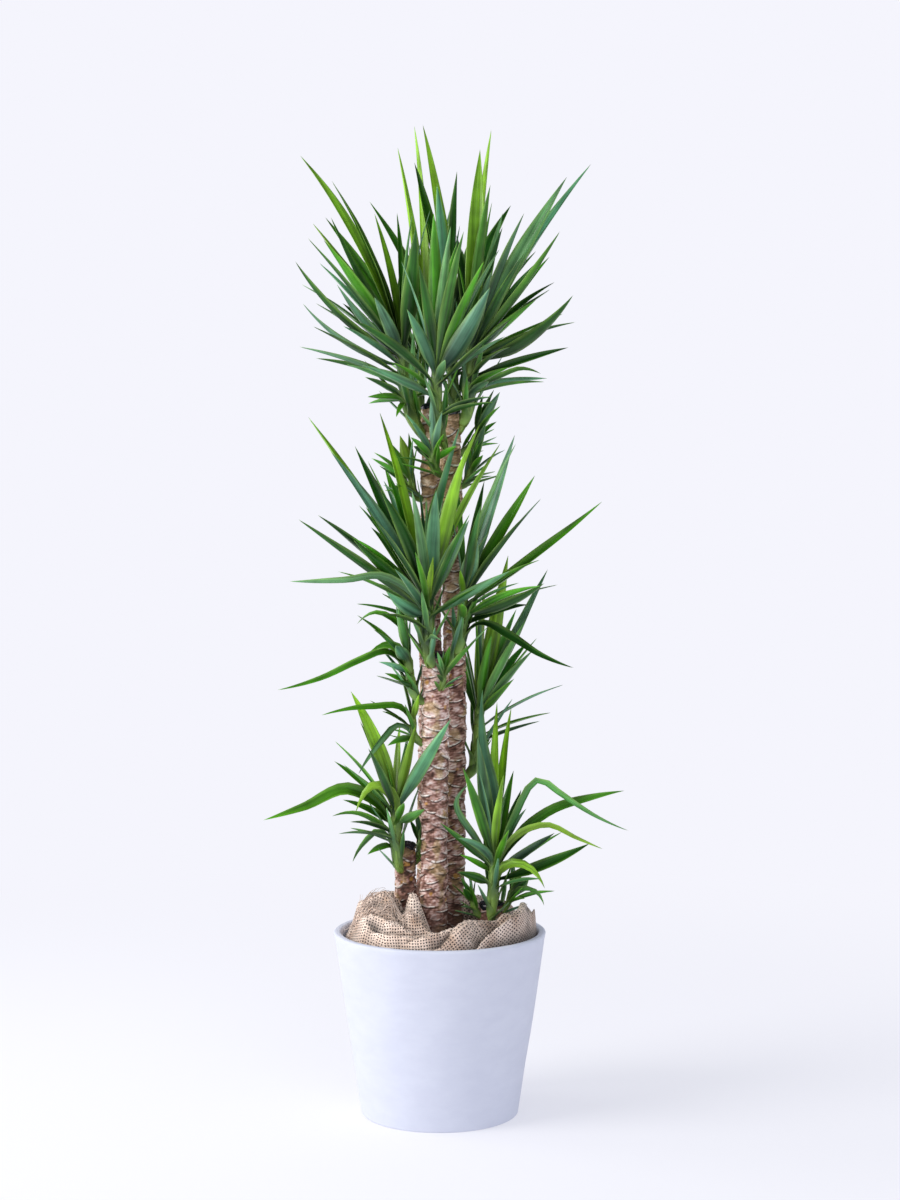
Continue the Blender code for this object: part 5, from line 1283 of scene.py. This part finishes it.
def packedBlade(tree, choices):
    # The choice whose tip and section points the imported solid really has.
    best, (near, most) = None, leaf["match"]
    for blade in choices:
        if tree.find(blade["points"][-1])[2] < near:
            outer = packedPoints(blade)[1:].reshape(-1, 3)
            share = np.mean([tree.find(p)[2] < near for p in outer])
            if share > most:
                best, most = blade, share
    return best


def placeLeaves():
    # Every shoot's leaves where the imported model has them, then added ones wherever there is room.
    placed = {}
    for number, (name, shoot) in enumerate(shoots.items()):
        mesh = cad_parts["shoot_" + name].data
        tree = KDTree(len(mesh.vertices))
        for i, vertex in enumerate(mesh.vertices):
            tree.insert(vertex.co, i)
        tree.balance()
        random = np.random.default_rng(500 + number)
        blades = []
        for row in shoot["leaves"]:
            blade = packedBlade(tree, listedChoices(shoot, row))
            if blade:
                blades.append({**blade, "tone": row[5]})
        for index in range(shoot["more"]):
            blade = packedBlade(tree, ruledChoices(shoot, index, shoot["more"], 100 * number + index))
            if blade:
                blades.append({**blade, "tone": random.choice(list(leaf["toneOdds"]))})
        placed[name] = blades
    found = sum(len(blades) for blades in placed.values())
    middles = [course(b["points"], np.linspace(0.12, 1, 14)) for bs in placed.values() for b in bs]
    added = 0
    for number, (name, shoot) in enumerate(shoots.items()):
        random = np.random.default_rng(900 + number)
        count = round(leaf["extra"] * len(placed[name]))
        for index in range(count):
            seed = 3000 + 100 * number + index
            for blade in ruledChoices(shoot, index, count, seed, leaf["extraRise"], 0.8, 24):
                line = course(blade["points"], np.linspace(0.2, 1, 12))
                gaps = np.linalg.norm(np.concatenate(middles)[:, None] - line, axis=-1)
                if gaps.min() > leaf["apart"]:
                    placed[name].append({**blade, "tone": random.choice(list(leaf["toneOdds"]))})
                    middles.append(course(blade["points"], np.linspace(0.12, 1, 14)))
                    added += 1
                    break
    print("leaves found in the packed shoots:", found, "and added:", added)
    return placed


def heartLeaves(shoot, number):
    # Spears that stand close round the stem's line, and bracts that clasp its lower part.
    random = np.random.default_rng(1300 + number)
    stem = np.array(shoot["stem"]) * cm
    size, long = shoot["radius"] * cm, shoot["reach"][1] * cm
    made = []
    for i in range(leaf["spears"]):
        height = 0.9 + 0.02 * i
        root, ahead = course(stem, [height])[0], heading(stem, [height])[0]
        turn, lean = i * goldenAngle + random.uniform(0, 6), random.uniform(0.10, 0.30)
        away = squareTo(np.array([math.cos(turn), math.sin(turn), 0.001]), ahead)
        reach = long * random.uniform(0.5, 0.85)
        tip = root + reach * unit(ahead + lean * away)
        middle = (root + tip) / 2 - 0.03 * reach * away
        width, roll = 0.005 + 0.04 * reach, random.normal(0, 0.3)
        made.append(([root, middle, tip], width, roll, height, 0.95, reach, "mpmd"[i % 4]))
    count = round(leaf["bracts"] * shoot["radius"])
    for i in range(count):
        height = 0.22 + 0.42 * (i + random.uniform(0, 0.5)) / count
        root, ahead = course(stem, [height])[0], heading(stem, [height])[0]
        turn = i * goldenAngle + number
        away = squareTo(np.array([math.cos(turn), math.sin(turn), 0.001]), ahead)
        reach = (0.02 + 5.0 * size * random.uniform(0.8, 1.7)) * (0.6 + height)
        lean = random.uniform(0.2, 0.7)
        tip = root + size * away + reach * unit(ahead + lean * away)
        middle = (root + tip) / 2 + 0.3 * size * away
        width, roll, root = 0.006 + 0.08 * reach, random.normal(0, 0.2), root + 0.6 * size * away
        made.append(([root, middle, tip], width, roll, height, 0.6, reach, random.choice(list("mmdp"))))
    names = ("points", "width", "roll", "height", "slope", "reach", "tone")
    return [{"shown": 0, "sections": leaf["sections"], **dict(zip(names, row))} for row in made]


def stemRadius(shoot, height):
    parts = np.interp(height, (0, 0.12, 0.3, 0.5, 0.75, 1), (0.5, 0.62, 0.68, 0.78, 0.74, 0.5))
    return shoot["radius"] * cm * parts


def bladeSurface(shoot, blade, random):
    # A closed strip of sections along t. Its sheath is an arc about the stem,
    # c(h) + r (o cos(f x) + s sin(f x)), that opens and passes over into the blade,
    # p(t) + w x side + lift(x) normal, by the eased part of t over the clasp.
    stem = np.array(shoot["stem"]) * cm
    total = np.linalg.norm(np.diff(stem, axis=0), axis=1).sum()
    reach, size = blade["reach"], stemRadius(shoot, blade["height"])
    rows = int(np.clip(reach / 0.009, 9, leaf["rows"]))
    u = np.linspace(0, 1, rows + 1)[:-1]
    t = u - 0.06 * np.sin(2 * math.pi * u)
    clasp = min(0.5, (2.0 * size + 0.03 * reach) / reach)
    centre, side, normal = sideOf(blade, t)
    x = np.array(leaf["across"])
    half = blade["width"] / 2 * bladeWidth(t, leaf["narrow"]) * (1 if blade["shown"] else leaf["slim"])
    twist = (random.normal(0, 0.16) * np.clip(t - 0.25, 0, 1))[:, None]
    c, s = np.cos(twist), np.sin(twist)
    side, normal = c * side + s * normal, c * normal - s * side
    phase, wave = random.uniform(0, 6, 2), random.uniform(1.2, 2.6)
    thick = leaf["thickness"] * (1.5 - 0.9 * t)[:, None] * (1 - 0.72 * np.abs(x) ** 2.2)
    under = (np.arange(len(x)) > 0) & (np.arange(len(x)) < len(x) // 2)
    lift = half[:, None] * (0.5 * np.abs(x) ** 1.1 - 0.2) - thick * (under + 0.5 * (np.abs(x) == 1))
    flutter = 0.05 * half[:, None] * np.sin(2 * math.pi * wave * t[:, None] + phase[0] + 1.3 * (x > 0)) * x**2
    wide = half[:, None] * x * (1 + 0.03 * np.sin(9 * t[:, None] + phase[1]))
    flat = centre[:, None] + wide[..., None] * side[:, None] + (lift + flutter)[..., None] * normal[:, None]
    # The sheath's rows, from low on the stem up to where the leaf leaves it.
    down = (0.010 + 0.5 * size) + 0.3 * total * (1 - blade["slope"]) * blade["height"]
    v = np.concatenate([np.linspace(-1, 0, 6)[:-1] * down, t * reach])
    start = blade["height"] - 0.8 * size * (1.1 - blade["slope"]) / total
    h = np.clip(start + 0.85 * v / total, 0.02, 1.3)
    axis, ahead = course(stem, np.minimum(h, 1)), heading(stem, np.minimum(h, 1))
    axis = axis + (np.maximum(h - 1, 0) * total)[:, None] * ahead
    way = blade["points"][-1] - blade["points"][0]
    out = squareTo(way + 1e-5, ahead)
    across = np.cross(ahead, -out)
    below = np.clip(-v / down, 0, 1)
    arc = 1.45 - 0.75 * np.clip(v / (clasp * reach), 0, 1) - 0.35 * below**2
    away = stemRadius(shoot, np.minimum(h, 1)) + random.uniform(0.0002, 0.0012) + 0.25 * np.clip(v, 0, None)
    away = away + 0.0012 * (1 - below)
    depth = away[:, None] + under * leaf["thickness"] * (1 - 0.7 * below**3)[:, None] * (1 - 0.6 * x**2)
    f = arc[:, None] * x
    sheath = axis[:, None] + (depth * np.cos(f))[..., None] * out[:, None]
    sheath = sheath + (depth * np.sin(f))[..., None] * across[:, None]
    mix = ease(t / clasp)[:, None, None]
    points = np.concatenate([sheath[:5], sheath[5:] * (1 - mix) + flat * mix])
    # Colours: pale clasping base, the leaf's own tone, darker towards the stem, partly its own darker
    # base and partly painted shade in the crowded heart of the shoot, lighter and waxier to the tip with
    # wax bloom and painted sheen, thin lighter edges.
    tone = linear(leaf["tones"][blade["tone"]]) * random.uniform(0.75, 1.3) * random.uniform(0.9, 1.1, 3)
    along = np.concatenate([np.zeros(5), t])[:, None, None]
    tall = v[:, None, None]
    # darker towards the stem: partly the leaf's own base, partly painted shade in the shoot's heart
    colour = tone * (0.3 + 0.9 * ease(1.3 * along)) + 0 * x[None, :, None]
    # partly wax bloom, partly painted sheen, growing towards the tip
    bloomAndSheen = max(0, random.uniform(-0.6, 0.4)) * (blade["tone"] != "b")
    colour = towards(colour, linear(leaf["bloomAndSheen"]), bloomAndSheen * (0.3 + 0.7 * along))
    colour = towards(colour, linear(leaf["edge"]), (0.6 * between(np.abs(x), 0.82, 1))[None, :, None])
    colour = towards(colour, colour * 1.25 + 0.01, (0.5 * under)[None, :, None])
    pale = 1 - between(tall, -0.7 * down, 0.006 + reach * np.interp(reach, (0.05, 0.15), (0.3, 0.02)))
    colour = towards(colour, linear(leaf["base"]), 0.7 * pale)
    dry = between(along, 0.975, 0.995) * (random.uniform() < 0.6) + (tall < -0.8 * down) * 0.5
    colour = towards(colour, linear(leaf["tip"]), 0.8 * dry)
    level = np.concatenate([np.full(5, half[0]), half])[:, None] * x
    uv = np.stack([level + random.uniform(0, 1), v[:, None] + 0 * x + random.uniform(0, 1)], -1)
    return points, colour, uv


def bladeFaces(rows, first):
    # The blade's tube, its lower end filled across from the upper to the under side, and a fan at the tip.
    quads = np.array([[5, 4, 8, 7], [4, 3, 9, 8], [3, 2, 10, 9], [2, 1, 11, 10]])
    ends = np.array([[7, 6, 5], [0, 11, 1]])
    count = len(leaf["across"])
    last, tip = first + np.arange(count) + (rows - 1) * count, first + rows * count
    return [tubeFaces(rows, count, first), first + quads, first + ends, fan(last, tip, True)]


def leafMaterial():
    # Living yucca leaf: leathery, with fine parallel veins and a thin wax bloom that gives a soft sheen.
    material = newMaterial("living yucca leaf")
    tint = addNode(material, "Attribute", {"attribute_name": "tint"})
    place = addNode(material, "TexCoord")
    along = addNode(material, "Mapping", {"Scale": (170, 5, 1)}, {"Vector": (place, "UV")})
    # Veins are under 1 mm apart; drawn about 6 mm apart so that they show.
    veins = addNode(
        material, "TexNoise", {"Scale": 1.0, "Detail": 3, "Roughness": 0.6}, {"Vector": (along, 0)},
    )
    broad = addNode(material, "TexNoise", {"Scale": 24, "Detail": 2}, {"Vector": (place, "UV")})
    both = addNode(material, "Math", {"operation": "MULTIPLY_ADD", 1: 2.0}, {0: (veins, 0), 2: (broad, 0)})
    shade = addNode(
        material, "MapRange", {"From Min": 1.1, "From Max": 1.9, "To Min": 0.45, "To Max": 1.5},
        {"Value": (both, 0)},
    )
    colour = addNode(
        material, "VectorMath", {"operation": "SCALE"}, {0: (tint, "Color"), "Scale": (shade, 0)}
    )
    gloss = addNode(material, "MapRange", {"To Min": 0.26, "To Max": 0.42}, {"Value": (veins, 0)})
    bump = addNode(material, "Bump", {"Strength": 0.5, "Distance": 0.001}, {"Height": (veins, 0)})
    shader = addNode(
        material, "BsdfPrincipled", {"IOR": 1.45, "Specular IOR Level": 0.4},
        {"Base Color": (colour, 0), "Roughness": (gloss, 0), "Normal": (bump, 0)},
    )
    addNode(material, "OutputMaterial", links={"Surface": (shader, 0)})
    return material


def stemSurface(shoot, number):
    # A round stem about its centre line, swollen where it leaves the cane, with a pointed end.
    stem = np.array(shoot["stem"]) * cm
    t, count = np.linspace(0, 1, 28), 24
    centre, ahead = course(stem, t), heading(stem, t)
    side = squareTo(np.array([0.0, 1.0, 0.0]), ahead)
    other = np.cross(ahead, side)
    angle = circle(count)[:, None]
    turn = np.cos(angle) * side[:, None] + np.sin(angle) * other[:, None]
    radius = stemRadius(shoot, t)[:, None] * (1 + 0.03 * ripple(centre[:, None] + 0.01 * turn, 0.02, number))
    points = centre[:, None] + radius[..., None] * turn
    cane = canes[shoot["cane"]]
    gap = np.linalg.norm((points - caneAxis(cane, points[..., 2]))[..., :2], axis=-1)
    cork = 1 - between(gap - caneRadius(cane, points[..., 2]), 0.001, 0.0045)
    colour = linear(leaf["stem"]) * (1 + 0.14 * ripple(points * [2, 2, 0.5], 0.012, 7 + number)[..., None])
    colour = towards(colour, linear(leaf["cork"]), (0.85 * cork)[..., None])
    uv = np.stack([0.006 * np.arange(count) + 0 * t[:, None], t[:, None] * 0.1 + 0 * np.arange(count)], -1)
    return points, colour, uv


def makeShoot(name, number, shoot, blades, material):
    random = np.random.default_rng(1700 + number)
    points, colour, uv = stemSurface(shoot, number)
    stem = np.array(shoot["stem"]) * cm
    end = stem[-1] + 0.012 * unit(stem[-1] - stem[-2])
    points, faces = closedTube(points, points[0].mean(0), end)
    first, allPoints = len(points), [points]
    allColours = [colour.reshape(-1, 3), colour[[0, -1], 0]]
    allUvs = [uv.reshape(-1, 2), uv[[0, -1], 0]]
    for blade in blades + heartLeaves(shoot, number):
        points, colour, uv = bladeSurface(shoot, blade, random)
        faces += bladeFaces(len(points), first)
        allPoints += [points.reshape(-1, 3), blade["points"][-1:]]
        allColours += [colour.reshape(-1, 3), colour[-1, :1]]
        allUvs += [uv.reshape(-1, 2), uv[-1, :1]]
        first += points.shape[0] * points.shape[1] + 1
    newPiece(
        "leaves_" + name, np.concatenate(allPoints), faces, material, ["shoot_" + name],
        uv=np.concatenate(allUvs), tint=np.concatenate(allColours),
    )


makeStudio()
makeFloor()
print("studio and floor made")
makePot()
makeSoil()
print("planter and soil made")
makeBurlap()
print("burlap made")
barkFinish, waxFinish, leafFinish = barkMaterial(), waxMaterial(), leafMaterial()
for number, name in enumerate(canes):
    makeCane(name, number, barkFinish)
    makeWax(name, number, waxFinish)
print("canes and wax made")
placed = placeLeaves()
for number, (name, shoot) in enumerate(shoots.items()):
    makeShoot(name, number, shoot, placed[name], leafFinish)
print("shoots made:", len(placed))
